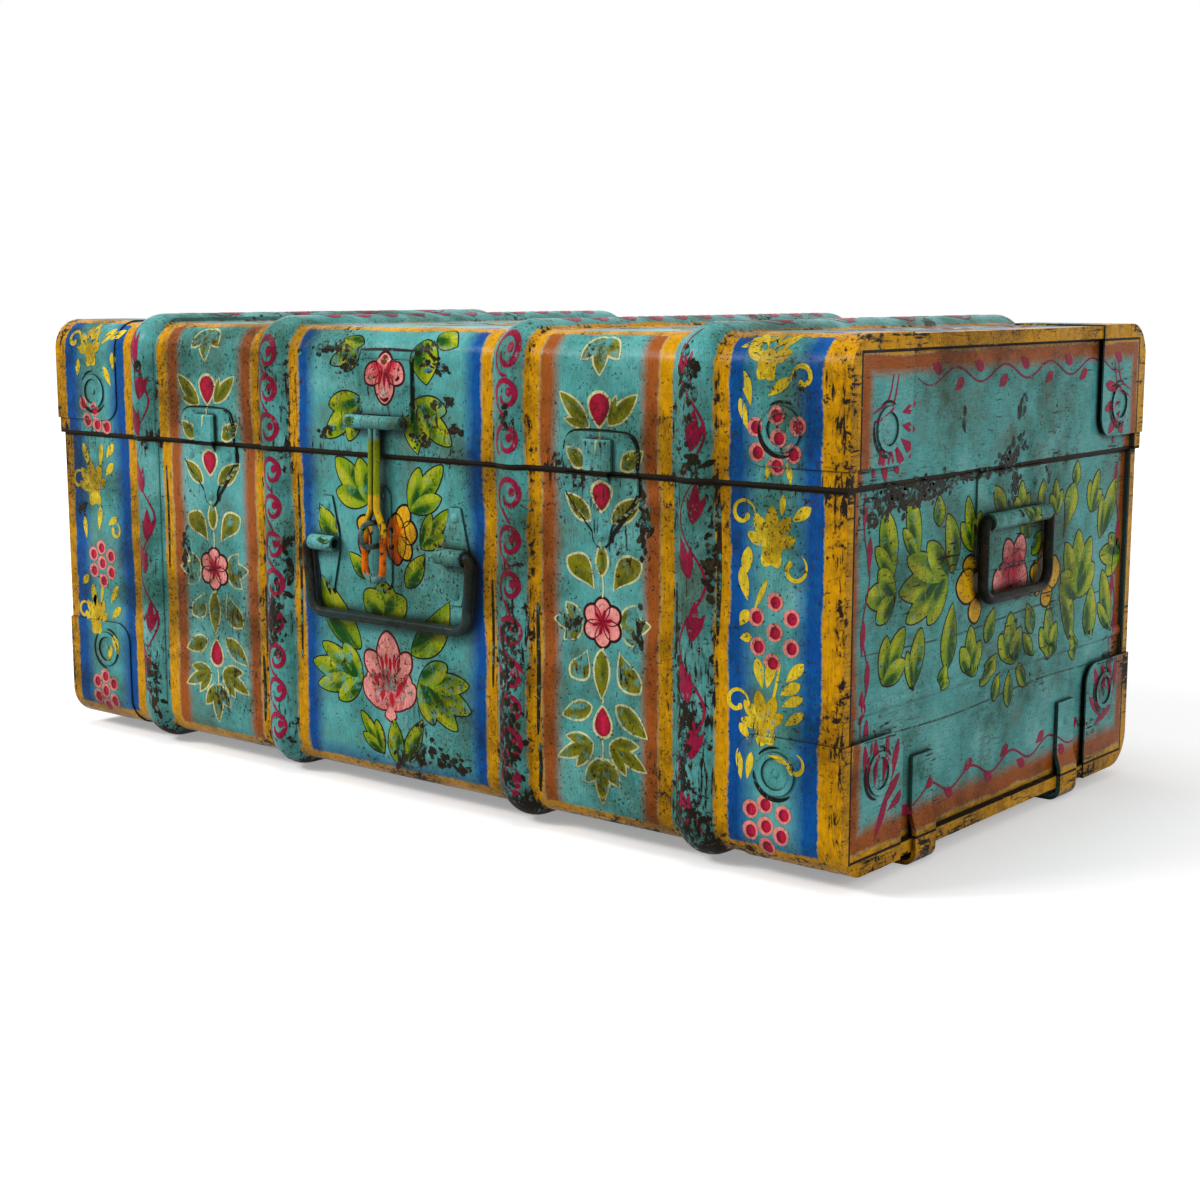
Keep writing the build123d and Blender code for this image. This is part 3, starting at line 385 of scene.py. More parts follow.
    # The rims at both ends are rubbed. The bottom edges take more chips below 14 mm, partly wear and partly
    # painted shade of the floor's contact shadow
    rim_in = add(tree, RANGE, {0: true_edge, 1: 4.5, 2: 0.5, 3: 0.0, 4: 0.075}, out=0)
    by_rim = add(tree, RANGE, {0: out_x, 1: 243.0, 2: 249.0, 3: 0.0, 4: 1.0}, out=0)
    rim_wear = add(tree, MATH, {0: rim_in, 1: by_rim}, out=0, operation="MULTIPLY")
    foot_shade_and_wear = add(tree, RANGE, {0: z, 1: 14.0, 2: 7.0, 3: 0.0, 4: 0.09}, out=0)
    rubbed_rims_and_foot_shade = add(tree, MATH, {0: rim_wear, 1: foot_shade_and_wear}, out=0, operation="MAXIMUM")
    all_edges = add(tree, MATH, {0: edge_wear_and_shade, 1: rubbed_rims_and_foot_shade}, out=0, operation="ADD")
    # The chipping value also carries painted shade: the shadow line along the seam, the dark line in the
    # ends' rim creases, the ribs' feet and the bottom edges
    chipping = add(tree, MATH, {0: all_edges, 1: seam_grime_and_shadow}, out=0, operation="ADD")
    return finish_paint(material, colour, chipping)


def paint_marks():
    """Oil enamel brushed on top of the ground, a little thicker than it, so its strokes show. Each mark's
    colour comes with its mesh, and its alpha says how far it has worn: to the teal below it, then to dark
    metal."""
    material = blank("enamel_marks")
    tree = material.node_tree
    colour = add(tree, "ShaderNodeAttribute", attribute_name="paint")
    mm, _ = position(tree)
    # Rubbed places about 6 mm across
    rub = add(tree, NOISE, {"Vector": mm, "Scale": 0.16, "Detail": 7.0, "Roughness": 0.72}, out="Fac")
    more = add(tree, MATH, {0: colour.outputs["Alpha"], 1: 0.26, 2: rub}, out=0, operation="MULTIPLY_ADD")
    thin = add(tree, RANGE, {0: more, 1: 0.66, 2: 0.74, 3: 0.0, 4: 0.85}, out=0)
    paint = add(tree, MIX, {0: thin, 6: colour.outputs["Color"], 7: rgba(TEAL)}, out=2, data_type="RGBA")
    chipping = add(tree, MATH, {0: colour.outputs["Alpha"], 1: 0.14, 2: -0.03}, out=0,
                   operation="MULTIPLY_ADD")
    return finish_paint(material, paint, chipping)


def hasp_paint():
    """Enamel on the hasp's wire, one brushful below another: teal, olive, yellow and orange, and dull where
    the eye rubs. The wire is round, so each paint shows as a pale line with a dark side."""
    material = blank("hasp_enamel")
    tree = material.node_tree
    mm, _ = position(tree)
    axis = add(tree, "ShaderNodeSeparateXYZ", {0: mm})
    uneven = add(tree, NOISE, {"Vector": mm, "Scale": 0.3, "Detail": 2.0}, out="Fac")
    height = add(tree, MATH, {0: uneven, 1: 3.0, 2: axis.outputs[2]}, out=0, operation="MULTIPLY_ADD")
    eye_z, painted = 100.0, 90.0
    up = add(tree, MATH, {0: height, 1: eye_z}, out=0, operation="SUBTRACT")
    colour = painted_bands(tree, up, [(length, linear(code)) for length, code in (
        (0, "#4C6A68"), (9, "#5C8E8C"), (10.5, ORANGE), (27, ORANGE), (29, "#D2A414"), (46, "#CDA01A"),
        (48, "#7E8A10"), (72, "#74820E"), (74.5, "#5C9490"), (painted, "#5C9490"),
    )], painted)
    return finish_paint(material, colour, 0.03)


def plain_paint(name, colour, chipping):
    """One brushed coat of a single enamel over wire or plate. It is thin here and thick there, so it looks
    clouded."""
    material = blank(name)
    tree = material.node_tree
    mm, _ = position(tree)
    tone = add(tree, NOISE, {"Vector": mm, "Scale": 0.12, "Detail": 4.0}, out="Fac")
    part = add(tree, RANGE, {0: tone, 1: 0.3, 2: 0.7, 3: 0.72, 4: 1.12}, out=0)
    toned = add(tree, VECTOR, {0: rgba(colour)[:3], 3: part}, out=0, operation="SCALE")
    return finish_paint(material, toned, chipping)


def worn_steel():
    """Drawn steel wire under years of handling: grey metal that shines softly between dull brown spots."""
    material = blank("worn_steel")
    tree = material.node_tree
    mm, _ = position(tree)
    spots = add(tree, NOISE, {"Vector": mm, "Scale": 0.5, "Detail": 5.0}, out="Fac")
    skin = add(tree, RANGE, {0: spots, 1: 0.4, 2: 0.65, 3: 0.0, 4: 1.0}, out=0)
    colour = add(tree, MIX, {0: skin, 6: rgba(STEEL), 7: rgba(RUST)}, out=2, data_type="RGBA")
    rough = add(tree, RANGE, {0: spots, 1: 0.3, 2: 0.7, 3: 0.35, 4: 0.6}, out=0)
    relief = add(tree, "ShaderNodeBump", {"Strength": 0.6, "Distance": 0.1 * MM, "Height": spots})
    shader = add(tree, "ShaderNodeBsdfPrincipled", {
        "Base Color": colour, "Roughness": rough, "Normal": relief.outputs[0], "Metallic": 1.0,
    })
    add(tree, "ShaderNodeOutputMaterial", {"Surface": shader.outputs[0]})
    return material


PAINTED_TIN = painted_tin()
MARKS = paint_marks()
NODE_PAINTS = {
    "hasp": hasp_paint(),
    "front_bail": plain_paint("bail_enamel", "#2A3C3A", 0.10),
    "side_bail_left": plain_paint("end_bail_enamel", "#16201E", 0.12),
    "staple": plain_paint("staple_enamel", "#56706C", 0.05),
    "rim_lip": plain_paint("lip_enamel", TEAL_DEEP, 0.03),
    "hasp_pin": worn_steel(),
}
NODE_PAINTS["side_bail_right"] = NODE_PAINTS["side_bail_left"]
NODE_PAINTS["hinge_pin_left"] = NODE_PAINTS["hinge_pin_right"] = NODE_PAINTS["hasp_pin"]
for name, piece in frame["nodes"].items():
    for holder in piece.material_slots:
        holder.material = NODE_PAINTS.get(name, PAINTED_TIN)


# ---------------------------------------------------------------- brushwork: flat shapes as grids

# The painter's unsteady hand: the same small differences on each run
hand = np.random.default_rng(11)


def form(length, width, lobes=0, depth=0.0, belly=0.45, point=0.75, bend=0.0, side=0, rows=6, columns=49):
    """A leaf or petal as a grid: v runs once round its rim from base to tip and back, and u out from its
    middle. A rim point is t = (1 + cos(pi v)) / 2 of the way up and sin(pi t^q)^point wide, widest at belly.
    Between lobes, where a cosine of v passes nought, the rim falls back by depth, on one side or on both.
    The midrib bows by a parabola of height bend. Gives x, z, and how far across and along the leaf each
    point is."""
    v = np.linspace(-1, 1, columns)[None, :] * np.ones((rows, 1))
    u = np.linspace(0, 1, rows)[:, None] * np.ones((1, columns))
    t = (1 + np.cos(pi * v)) / 2
    half = np.abs(np.sin(pi * t ** (np.log(0.5) / np.log(belly)))) ** point
    notch = 1 - np.abs(np.cos((lobes + 1) * pi * v / 2)) ** 0.7
    reach = 1 - depth * np.sqrt(1 - v**2) * notch * (side * v >= 0)
    across = u * reach * np.sign(v) * half
    along = u * reach * (t - belly) + belly
    return width / 2 * across + bend * 4 * along * (1 - along), length * (along - 0.5), across, along


def disc(radius_x, radius_z):
    """A round dot as a grid: u runs from its middle to its rim and v once round it."""
    u = np.linspace(0, 1, 5)[:, None] * np.ones((1, 25))
    v = np.linspace(-1, 1, 25)[None, :] * np.ones((5, 1))
    return radius_x * u * np.sin(pi * v), radius_z * u * np.cos(pi * v), v, u


def turned(shape, x, z, angle=0.0):
    """The shape moved to x, z with its tip turned clockwise from straight up."""
    across, along, s, t = shape
    c, d = np.cos(radians(angle)), np.sin(radians(angle))
    return x + across * c + along * d, z - across * d + along * c, s, t


def grown(kind, bx, bz, tx, tz, width, spare=0.0):
    """A form of a kind that grows from its base to its tip, with a little to spare all round."""
    length = np.hypot(tx - bx, tz - bz) + 1.5 * spare
    shape = form(length, width + 1.5 * spare, **KINDS[kind])
    return turned(shape, (bx + tx) / 2, (bz + tz) / 2, np.degrees(np.arctan2(tx - bx, tz - bz)))


KINDS = {
    "plain": dict(belly=0.42, point=0.85),
    "full": dict(belly=0.5, point=0.55),
    "bent": dict(belly=0.45, point=0.6, bend=2.4),
    "curved": dict(belly=0.42, point=0.8, bend=3.4),
    "hooked": dict(belly=0.42, point=0.8, bend=-3.4),
    "comma": dict(belly=0.64, point=0.72, bend=2.2),
    "turned_comma": dict(belly=0.64, point=0.72, bend=-2.2),
    "drop": dict(belly=0.70, point=0.9),
    "tear": dict(belly=0.36, point=0.75),
    "finger": dict(belly=0.47, point=0.8),
    "lobe": dict(belly=0.54, point=0.62),
}

# Lobed leaves are fingers from one base: where each tip is across and along the leaf, and its width
FINGERS = {
    "three": ((0.0, 1.0, 0.50), (-0.52, 0.62, 0.44), (0.52, 0.62, 0.44)),
    "five": ((0.0, 1.0, 0.36), (-0.40, 0.86, 0.32), (0.40, 0.84, 0.32), (-0.52, 0.42, 0.32),
             (0.52, 0.42, 0.32)),
    "ivy": ((0.0, 1.0, 0.46), (-0.54, 0.56, 0.42), (0.54, 0.60, 0.42), (-0.30, 0.16, 0.22),
            (0.30, 0.16, 0.22)),
    "mitten": ((0.06, 1.0, 0.66), (-0.54, 0.58, 0.38)),
}


def leaf_parts(kind, bx, bz, tx, tz, width, spare=0.0, finger="finger", share=1.0):
    """The forms that make up one leaf: one, or the fingers of a lobed kind, whose widths take a share."""
    if kind not in FINGERS:
        return [grown(kind, bx, bz, tx, tz, width, spare)]
    dx, dz = tx - bx, tz - bz
    length = np.hypot(dx, dz)
    parts = []
    for across, along, part in FINGERS[kind]:
        x = bx + along * dx + across * width * dz / length
        z = bz + along * dz - across * width * dx / length
        parts.append(grown(finger, bx, bz, x, z, share * part * width, spare))
    return parts


def ribbon(path_x, path_z, width, blunt=0.5, thick_end=0.0):
    """A brush line along a path: its half-width is sin(pi t)^blunt, and thickens along it by thick_end. Its
    points are stepped out square to the path's own direction."""
    count = len(path_x)
    t = np.linspace(0.004, 0.996, count)[:, None] * np.ones((1, 3))
    s = np.linspace(-1, 1, 3)[None, :] * np.ones((count, 1))
    dx, dz = np.gradient(path_x), np.gradient(path_z)
    size = np.hypot(dx, dz) + 1e-9
    half = (width / 2 * np.sin(pi * t[:, 0]) ** blunt * (1 + thick_end * t[:, 0] ** 2))[:, None]
    step_x, step_z = s * half * (dz / size)[:, None], s * half * (dx / size)[:, None]
    return path_x[:, None] + step_x, path_z[:, None] - step_z, s, t


def smooth_path(points, count=40):
    """A path of count points through the given ones, by a Catmull-Rom blend: each stretch is a cubic whose
    slope at a given point is half the step between that point's neighbours."""
    p = np.array(points, float)
    p = np.vstack([2 * p[0] - p[1], p, 2 * p[-1] - p[-2]])
    u = np.linspace(0, len(p) - 3 - 1e-6, count)
    i, f = u.astype(int), (u % 1)[:, None]
    a, b, c, d = p[i], p[i + 1], p[i + 2], p[i + 3]
    q = 0.5 * (2 * b + (c - a) * f + (2 * a - 5 * b + 4 * c - d) * f**2 + (3 * b - a - 3 * c + d) * f**3)
    return q[:, 0], q[:, 1]


def rim(shape, start=0.04, end=0.86, out=0.35, width=0.9):
    """A brush line just outside a form's rim, from start to end of the way round it."""
    x, z = shape[:2]
    pick = slice(int(start * x.shape[1]), int(end * x.shape[1]))
    px, pz = x[-1, pick], z[-1, pick]
    size = np.hypot(px - x[0, 0], pz - z[0, 0]) + 1e-9
    return ribbon(px + out * (px - x[0, 0]) / size, pz + out * (pz - z[0, 0]) / size, width, 0.35)


# ---------------------------------------------------------------- laying the marks on the tin

# Marks are drawn this far off the sheet, in millimetres, then pressed on to it. One that finds no sheet below
# it stays just off the wall
STAND = 9.0
OFF_WALL = 0.2
# Marks of one layer are stacked in steps, so that they can overlap, and a layer begins above the one before
STACK_STEP, STACK = 0.0024, 20
LAYER_FIRST, LAYER_GAP = 0.04, 0.05
marks = {}


def on_tin(face, across, height):
    """Places well off the sheet for points across and up a face, and places just off the wall below them. The
    front and back roll over the rounded edges: past the bend, height is measured along the sheet, first round
    a quarter circle and then straight on over the lid's top."""
    side, body = face
    if side in ("right", "left"):
        sign = 1.0 if side == "right" else -1.0
        sheet_x = (HALF_WIDTH if body == "trunk" else HALF_WIDTH + LID_OVERHANG) * np.ones_like(across)
        y = MIDDLE_Y + sign * across
        return tuple(np.stack([sign * (sheet_x + far), y, height], -1) for far in (STAND, OFF_WALL))
    half = LID_HALF_DEPTH if body == "lid" else BODY_HALF_DEPTH
    bend_z = TOP_Z - EDGE_RADIUS if body == "lid" else FLOOR_Z + EDGE_RADIUS
    up = 1.0 if body == "lid" else -1.0
    past = up * (height - bend_z)
    angle = np.clip(past / EDGE_RADIUS, 0, pi / 2)
    over = np.maximum(past - EDGE_RADIUS * pi / 2, 0)
    sign = 1.0 if side == "front" else -1.0
    placed = []
    for far in (STAND, OFF_WALL):
        reach = half - EDGE_RADIUS + (EDGE_RADIUS + far) * np.cos(angle) - over
        z = np.where(past < 0, height, bend_z + up * (EDGE_RADIUS + far) * np.sin(angle))
        placed.append(np.stack([sign * across, MIDDLE_Y - sign * reach, z], -1))
    return tuple(placed)


def lay(face, layer, shape, colour, *tones, wear=0.25):
    """Adds one mark to a layer of a face: a colour, then each (colour, weight) over it, and how worn it is.
    The paint is a little darker or paler along each brush stroke."""
    x, z = shape[:2]
    far, near = (part.reshape(-1, 3) for part in on_tin(face, x, z))
    paint = np.ones((*x.shape, 3)) * linear(colour)
    for other, weight in tones:
        paint = paint + (linear(other) - paint) * np.clip(weight, 0, 1)[..., None]
    shade = 1 + 0.09 * hand.standard_normal((1, x.shape[1], 1))
    paint = np.clip(paint * shade, 0, 1)
    rows, columns = x.shape
    index = np.arange(rows * columns).reshape(rows, columns)
    quads = np.stack([index[:-1, :-1], index[:-1, 1:], index[1:, 1:], index[1:, :-1]], -1).reshape(-1, 4)
    square = np.cross(far[quads[:, 2]] - far[quads[:, 0]], far[quads[:, 3]] - far[quads[:, 1]])
    if np.sum(square * (far - near)[quads[:, 0]]) < 0:
        quads = quads[:, ::-1]
    collected = marks.setdefault((*face, layer), [])
    lift = np.full(len(far), STACK_STEP * (len(collected) % STACK))
    worn = np.full((len(far), 1), wear)
    collected.append((far, near, quads, np.hstack([paint.reshape(-1, 3), worn]), lift))


def blotch(shape, across, along, size=0.4):
    """A soft round weight on a form, centred across and along it."""
    return 1.35 * np.exp(-((shape[2] - across) / size) ** 2 - ((shape[3] - along) / (0.7 * size)) ** 2)


def green_leaf(face, kind, bx, bz, tx, tz, width, wear=0.3):
    """A lime leaf of blunt lobes with dark green strokes from its base, and a black line round it."""
    broad = 1.12
    for part in leaf_parts(kind, bx, bz, tx, tz, width, 1.0, "lobe", broad):
        lay(face, 0, part, INK_AND_SHADOW, wear=0.15)
    side = hand.choice((-1, 1))
    for part in leaf_parts(kind, bx, bz, tx, tz, width, 0.0, "lobe", broad):
        streaks = 0.35 * hand.standard_normal((1, part[0].shape[1]))
        lay(face, 1, part, LEAF, (LEAF_PALE, blotch(part, -0.5 * side, 0.75, 0.45)),
            (LEAF_DARK, (1.5 + streaks) * blotch(part, 0.42 * side, 0.3, 0.5) - 0.25), wear=wear)


def olive_leaf(face, kind, bx, bz, tx, tz, width, wear=0.45):
    """An olive leaf with a cream edge, rubbed and specked."""
    for part in leaf_parts(kind, bx, bz, tx, tz, width, 0.6):
        lay(face, 0, part, CREAM, wear=0.6 * wear)
    side = hand.uniform(-0.5, 0.5)
    for part in leaf_parts(kind, bx, bz, tx, tz, width, -0.9):
        lay(face, 1, part, OLIVE, (OLIVE_DARK, blotch(part, side, 0.4)), wear=wear)


def tear(face, kind, bx, bz, tx, tz, width, wear):
    """A crimson drop with a cream edge, round at its base and pointed at its tip."""
    lay(face, 0, grown(kind, bx, bz, tx, tz, width, 1.0), CREAM, wear=wear)
    full = grown(kind, bx, bz, tx, tz, width, -0.8)
    lay(face, 1, full, GARNET, (BERRY, blotch(full, 0.2, 0.45, 0.6)), wear=0.5 * wear)


def dab(face, x, z, length, width, angle, colour=FLOWER_YELLOW, layer=1, wear=0.25):
    """One press of the brush: pointed where it starts and full where it ends."""
    shape = form(length, width, belly=0.6, point=0.7, rows=3, columns=21)
    lay(face, layer, turned(shape, x, z, angle), colour, wear=wear)


def bloom(face, x, z, radius, petals=6, start=0.0):
    """A flower of round pink petals, red at the middle, each with a dark edge."""
    for k in range(petals):
        angle = start + 360 * k / petals
        reach = 0.52 * radius
        cx, cz = x + reach * np.sin(radians(angle)), z + reach * np.cos(radians(angle))
        edge = form(radius + 1.7, 0.78 * radius + 1.8, belly=0.6, point=0.5)
        lay(face, 0, turned(edge, cx, cz, angle), INK_AND_SHADOW, wear=0.1)
        full = turned(form(0.96 * radius, 0.76 * radius, belly=0.6, point=0.5), cx, cz, angle)
        lay(face, 1, full, PINK, (ROSE, 1.3 - 2.0 * full[3] + 0.4 * full[2]), wear=0.15)
        lay(face, 2, rim(full, 0.06, 0.94, 0.1, 0.6), WINE, wear=0.1)
        vein = angle + 14
        dab(face, x + 0.28 * radius * np.sin(radians(vein)), z + 0.28 * radius * np.cos(radians(vein)),
            0.56 * radius, 1.7, vein, CHERRY, 2, 0.0)
    lay(face, 2, turned(disc(0.11 * radius, 0.13 * radius), x, z), MULBERRY, wear=0.0)


def berry(face, x, z, radius=3.9):
    """A red dot with a pink rim."""
    lay(face, 1, turned(disc(radius, radius), x, z), BERRY_RIM, wear=0.15)
    core = turned(disc(0.62 * radius, 0.66 * radius), x + 0.3, z - 0.2)
    lay(face, 2, core, BERRY, (PLUM, core[3] - 0.25 - 0.6 * np.sin(pi * core[2])), wear=0.05)


def comma(face, x, z, radius, start, sweep, colour=FLOWER_YELLOW, width=1.5):
    """A curl: a line whose radius falls by six tenths over the sweep, in degrees, and that ends in a thick
    head."""
    u = np.linspace(0, 1, 34)
    angle = np.radians(start + sweep * u)
    fall = radius * (1 - 0.6 * u)
    path_x, path_z = x + fall * np.sin(angle), z + fall * np.cos(angle)
    lay(face, 1, ribbon(path_x, path_z, width, 0.45, 0.9), colour)
    lay(face, 1, turned(disc(0.8 * width, 0.95 * width), path_x[-3], path_z[-3]), colour)


def lily(face, x, z, size, lean=0.0):
    """A yellow flower of quick dabs that fan up from a cup, with darker touches and two leaves below."""
    for angle, reach, length, width in (
        (-66, 0.30, 0.46, 0.20), (-34, 0.36, 0.60, 0.24), (-4, 0.38, 0.66, 0.26), (28, 0.36, 0.58, 0.24),
        (60, 0.28, 0.44, 0.20), (150, 0.14, 0.36, 0.24), (205, 0.14, 0.36, 0.24),
    ):
        a = radians(angle + lean)
        colour = FLOWER_YELLOW if angle % 4 else FLOWER_DEEP
        dab(face, x + reach * size * np.sin(a), z + reach * size * np.cos(a), length * size, width * size,
            angle + lean, colour, 1, 0.35)
    lay(face, 1, turned(disc(0.2 * size, 0.24 * size), x, z), FLOWER_DEEP, wear=0.4)


def vine(face, points, width=1.3, colour=MAGENTA, layer=1, wear=0.2):
    """A thin line through the given points."""
    lay(face, layer, ribbon(*smooth_path(points, 12 * len(points)), width, 0.25), colour, wear=wear)


def bud(face, bx, bz, tx, tz, width):
    """A tulip-like bud from its base to its tip: one full petal and two shorter ones that lean out beside it,
    each so far along and so far to the side."""
    lay(face, 1, grown("plain", bx, bz, tx, tz, width), CRIMSON)
    side = np.array([tz - bz, bx - tx]) * 0.28
    for along, out, share, colour in ((0.72, 1.0, 0.6, CRIMSON), (0.62, -0.8, 0.5, MAGENTA)):
        tip_x = bx + along * (tx - bx) + out * side[0]
        tip_z = bz + along * (tz - bz) + out * side[1]
        lay(face, 1, grown("plain", bx, bz, tip_x, tip_z, share * width), colour)


def wave(start, end, swing, turns, count=41):
    """Points along a straight line that swing to its sides as a sine."""
    u = np.linspace(0, 1, count)
    a, b = np.array(start, float), np.array(end, float)
    line = a + (b - a) * u[:, None]
    square = np.array([(b - a)[1], -(b - a)[0]]) / np.linalg.norm(b - a)
    return line + square * (swing * np.sin(tau * turns * u))[:, None]


def scuff(face, x, z, length, width, angle, share=0.5):
    """A worn place: a crowd of small ragged flakes, from thin paint to dark metal, thickest at its middle."""
    turn = radians(angle)
    flake_area = 3.4
    for _ in range(int(share * length * width / flake_area) + 5):
        along, across = 0.25 * length * hand.standard_normal(), 0.25 * width * hand.standard_normal()
        size = hand.uniform(0.8, 3.0)
        ragged = dict(lobes=4, depth=0.35, belly=0.5, point=0.5, rows=3, columns=17)
        flake = form(size * hand.uniform(1.0, 2.4), size, **ragged)
        flake_x = x + along * np.sin(turn) + across * np.cos(turn)
        flake_z = z + along * np.cos(turn) - across * np.sin(turn)
        lay(face, 2, turned(flake, flake_x, flake_z, angle + hand.uniform(-50, 50)),
            FLAKES[hand.integers(len(FLAKES))], wear=hand.uniform(0.1, 0.75))


def worn_places(face, table, share=0.5):
    """Scuffs from a table: across, height, length, width, turn."""
    for row in table:
        scuff(face, *row, share)


def shadow_and_grime_line(face, points, width=1.0):
    """A dark, broken line against an edge: painted shadow of the fitting, with dirt."""
    x, z = smooth_path(points, 14 * len(points))
    lay(face, 2, ribbon(x + 0.08 * hand.standard_normal(len(x)).cumsum(), z, width, 0.2), INK_AND_SHADOW, wear=0.2)


def petal(face, kind, bx, bz, tx, tz, width, root, tip, share=1.2, line=INK_AND_SHADOW, wear=0.15, lined=True):
    """One petal with a dark line round it, blended from its root to its tip. Petals that aren't lined run
    together, with one line round them all."""
    lay(face, 0, grown(kind, bx, bz, tx, tz, width, 1.2), line, wear=0.1)
    full = grown(kind, bx, bz, tx, tz, width)
    streaks = 0.25 * hand.standard_normal((1, full[0].shape[1]))
    lay(face, 1, full, tip, (root, share - 1.9 * full[3] + streaks), wear=wear)
    if lined:
        lay(face, 2, rim(full, 0.05, 0.95, 0.1, 0.7), line, wear=0.12)


# ---------------------------------------------------------------- what is painted where

FRONT_LID, FRONT_BODY = ("front", "lid"), ("front", "trunk")
BACK_LID, BACK_BODY = ("back", "lid"), ("back", "trunk")
RIGHT_LID, RIGHT_BODY = ("right", "lid"), ("right", "trunk")
LEFT_LID, LEFT_BODY = ("left", "lid"), ("left", "trunk")

# Sprigs, across from the panel's middle: maker, kind, base, tip, width, wear
SPRIG_LID = (
    (olive_leaf, "ivy", -1, 222, -1, 205, 19, 0.75), (olive_leaf, "mitten", -6, 183, -23, 197, 12, 0.4),
    (olive_leaf, "mitten", 5, 184, 20, 198, 12, 0.25), (tear, "tear", 0, 198, 0, 183, 12, 0.1),
    (olive_leaf, "plain", -8, 166, -18, 174, 8, 0.4), (olive_leaf, "plain", 12, 166, 23, 174, 8, 0.4),
)
SPRIG_BODY = (
    (tear, "tear", 0, 160, 0, 147, 11, 0.1), (olive_leaf, "plain", -6, 143, -21, 154, 9, 0.3),
    (olive_leaf, "plain", 6, 143, 22, 154, 9, 0.3), (olive_leaf, "plain", 0, 119, 0, 134, 7, 0.3),
    (olive_leaf, "comma", -5, 113, -20, 126, 12, 0.2),
    (olive_leaf, "turned_comma", 6, 113, 21, 127, 12, 0.45),
    (olive_leaf, "three", -11, 97, -27, 98, 16, 0.8), (olive_leaf, "three", 10, 98, 26, 100, 17, 0.85),
    (olive_leaf, "turned_comma", -9, 86, -18, 73, 11, 0.7), (olive_leaf, "plain", -1, 87, -1, 65, 9, 0.5),
    (olive_leaf, "comma", 9, 87, 20, 70, 12, 0.7), (olive_leaf, "plain", -6, 61, -23, 55, 9, 0.6),
    (olive_leaf, "plain", 7, 63, 24, 51, 10, 0.5), (tear, "tear", 0, 48, 0, 62, 10, 0.1),
    (olive_leaf, "three", -5, 45, -25, 36, 14, 0.5), (olive_leaf, "three", 4, 46, 24, 36, 15, 0.3),
    (olive_leaf, "ivy", 0, 38, 0, 19, 18, 0.6),
)
# The height of the flower in the middle of the sprig
BLOOM_Z = 98.8


def sprig(face, middle, table, rise=0.0):
    """A sprig down a panel, from its table."""
    for make, kind, bx, bz, tx, tz, width, wear in table:
        nudge = middle + hand.normal(0, 0.4)
        make(face, kind, nudge + bx, rise + bz, nudge + tx, rise + tz, width, wear)


def stem(face, x, high, low):
    """A short cream stem."""
    vine(face, ((x, high), (x + 0.5, (high + low) / 2), (x, low)), 1.0, CREAM)


for middle in (-SPRIG_PANEL, SPRIG_PANEL):
    for face in (FRONT_LID, BACK_LID):
        sprig(face, middle, SPRIG_LID)
        stem(face, middle, 183, 172)
    for face in (FRONT_BODY, BACK_BODY):
        sprig(face, middle, SPRIG_BODY)
        bloom(face, middle, BLOOM_Z, 10.6)
        for high, low in ((119, 109), (89, 86), (66, 63), (47, 38)):
            stem(face, middle, high, low)

# Corner panels. Lilies: across, height, size, lean. Commas: across, height, radius, start, sweep.
# Dabs: across, height, length, width, turn. Berries: across, height
RIGHT_CORNER_LID = (
    ((213, 212, 23, 6),),
    ((230, 207, 5.5, 250, 330),),
    ((203, 221, 11, 4.4, 70), (204, 202, 14, 4.6, -14), (202, 192, 13, 4.4, -20), (219, 203, 13, 4.6, 55),
     (221, 222, 11, 3.6, 40), (214, 170, 9, 3.0, 20), (224, 169, 9, 3.0, -10)),
    ((208, 187), (218, 192), (228, 188), (209, 177), (219, 183), (226, 177), (218, 172)),
)
RIGHT_CORNER_BODY = (
    ((215, 138, 25, 4), (213, 64, 23, -10)),
    ((201, 152, 6, 90, -350), (226, 131, 6.5, 30, 300), (199, 74, 6, 100, -340), (228, 51, 5, 10, 250)),
    ((229, 153, 11, 5, 55), (220, 156, 9, 3, 5), (203, 132, 13, 5.4, 10), (202, 123, 14, 5, -14),
     (210, 119, 15, 2.6, 25), (202, 109, 8, 5, 30), (203, 101, 6, 4, 80), (210, 87, 13, 5, -14),
     (215, 87, 12, 5, 12), (227, 89, 12, 5, 45), (225, 82, 11, 5, 60), (226, 77, 11, 4.4, 65),
     (227, 70, 11, 4.2, 55), (201, 48, 13, 4, -10), (206, 48, 12, 3.6, 10), (221, 53, 11, 3.2, 100),
     (203, 62, 8, 4, -40)),
    ((217, 117), (208, 110), (225, 111), (217, 104.5), (209, 98), (225, 99), (216, 92),
     (207, 30), (214, 33), (223, 30), (207, 21), (214.5, 24), (222, 21), (214.5, 15)),
)
LEFT_CORNER_LID = (
    ((-222, 206, 21, -4),),
    ((-236, 214, 5, 100, -330),),
    ((-220, 219, 10, 4, -10), (-208, 216, 12, 4.4, 50), (-201, 217, 11, 4.2, 60), (-208, 195, 12, 4.4, -30),
     (-203, 203, 9, 4, 0), (-233, 199, 9, 4, 10)),
    ((-220, 177), (-227, 171), (-211, 168), (-219, 169), (-229, 180)),
)
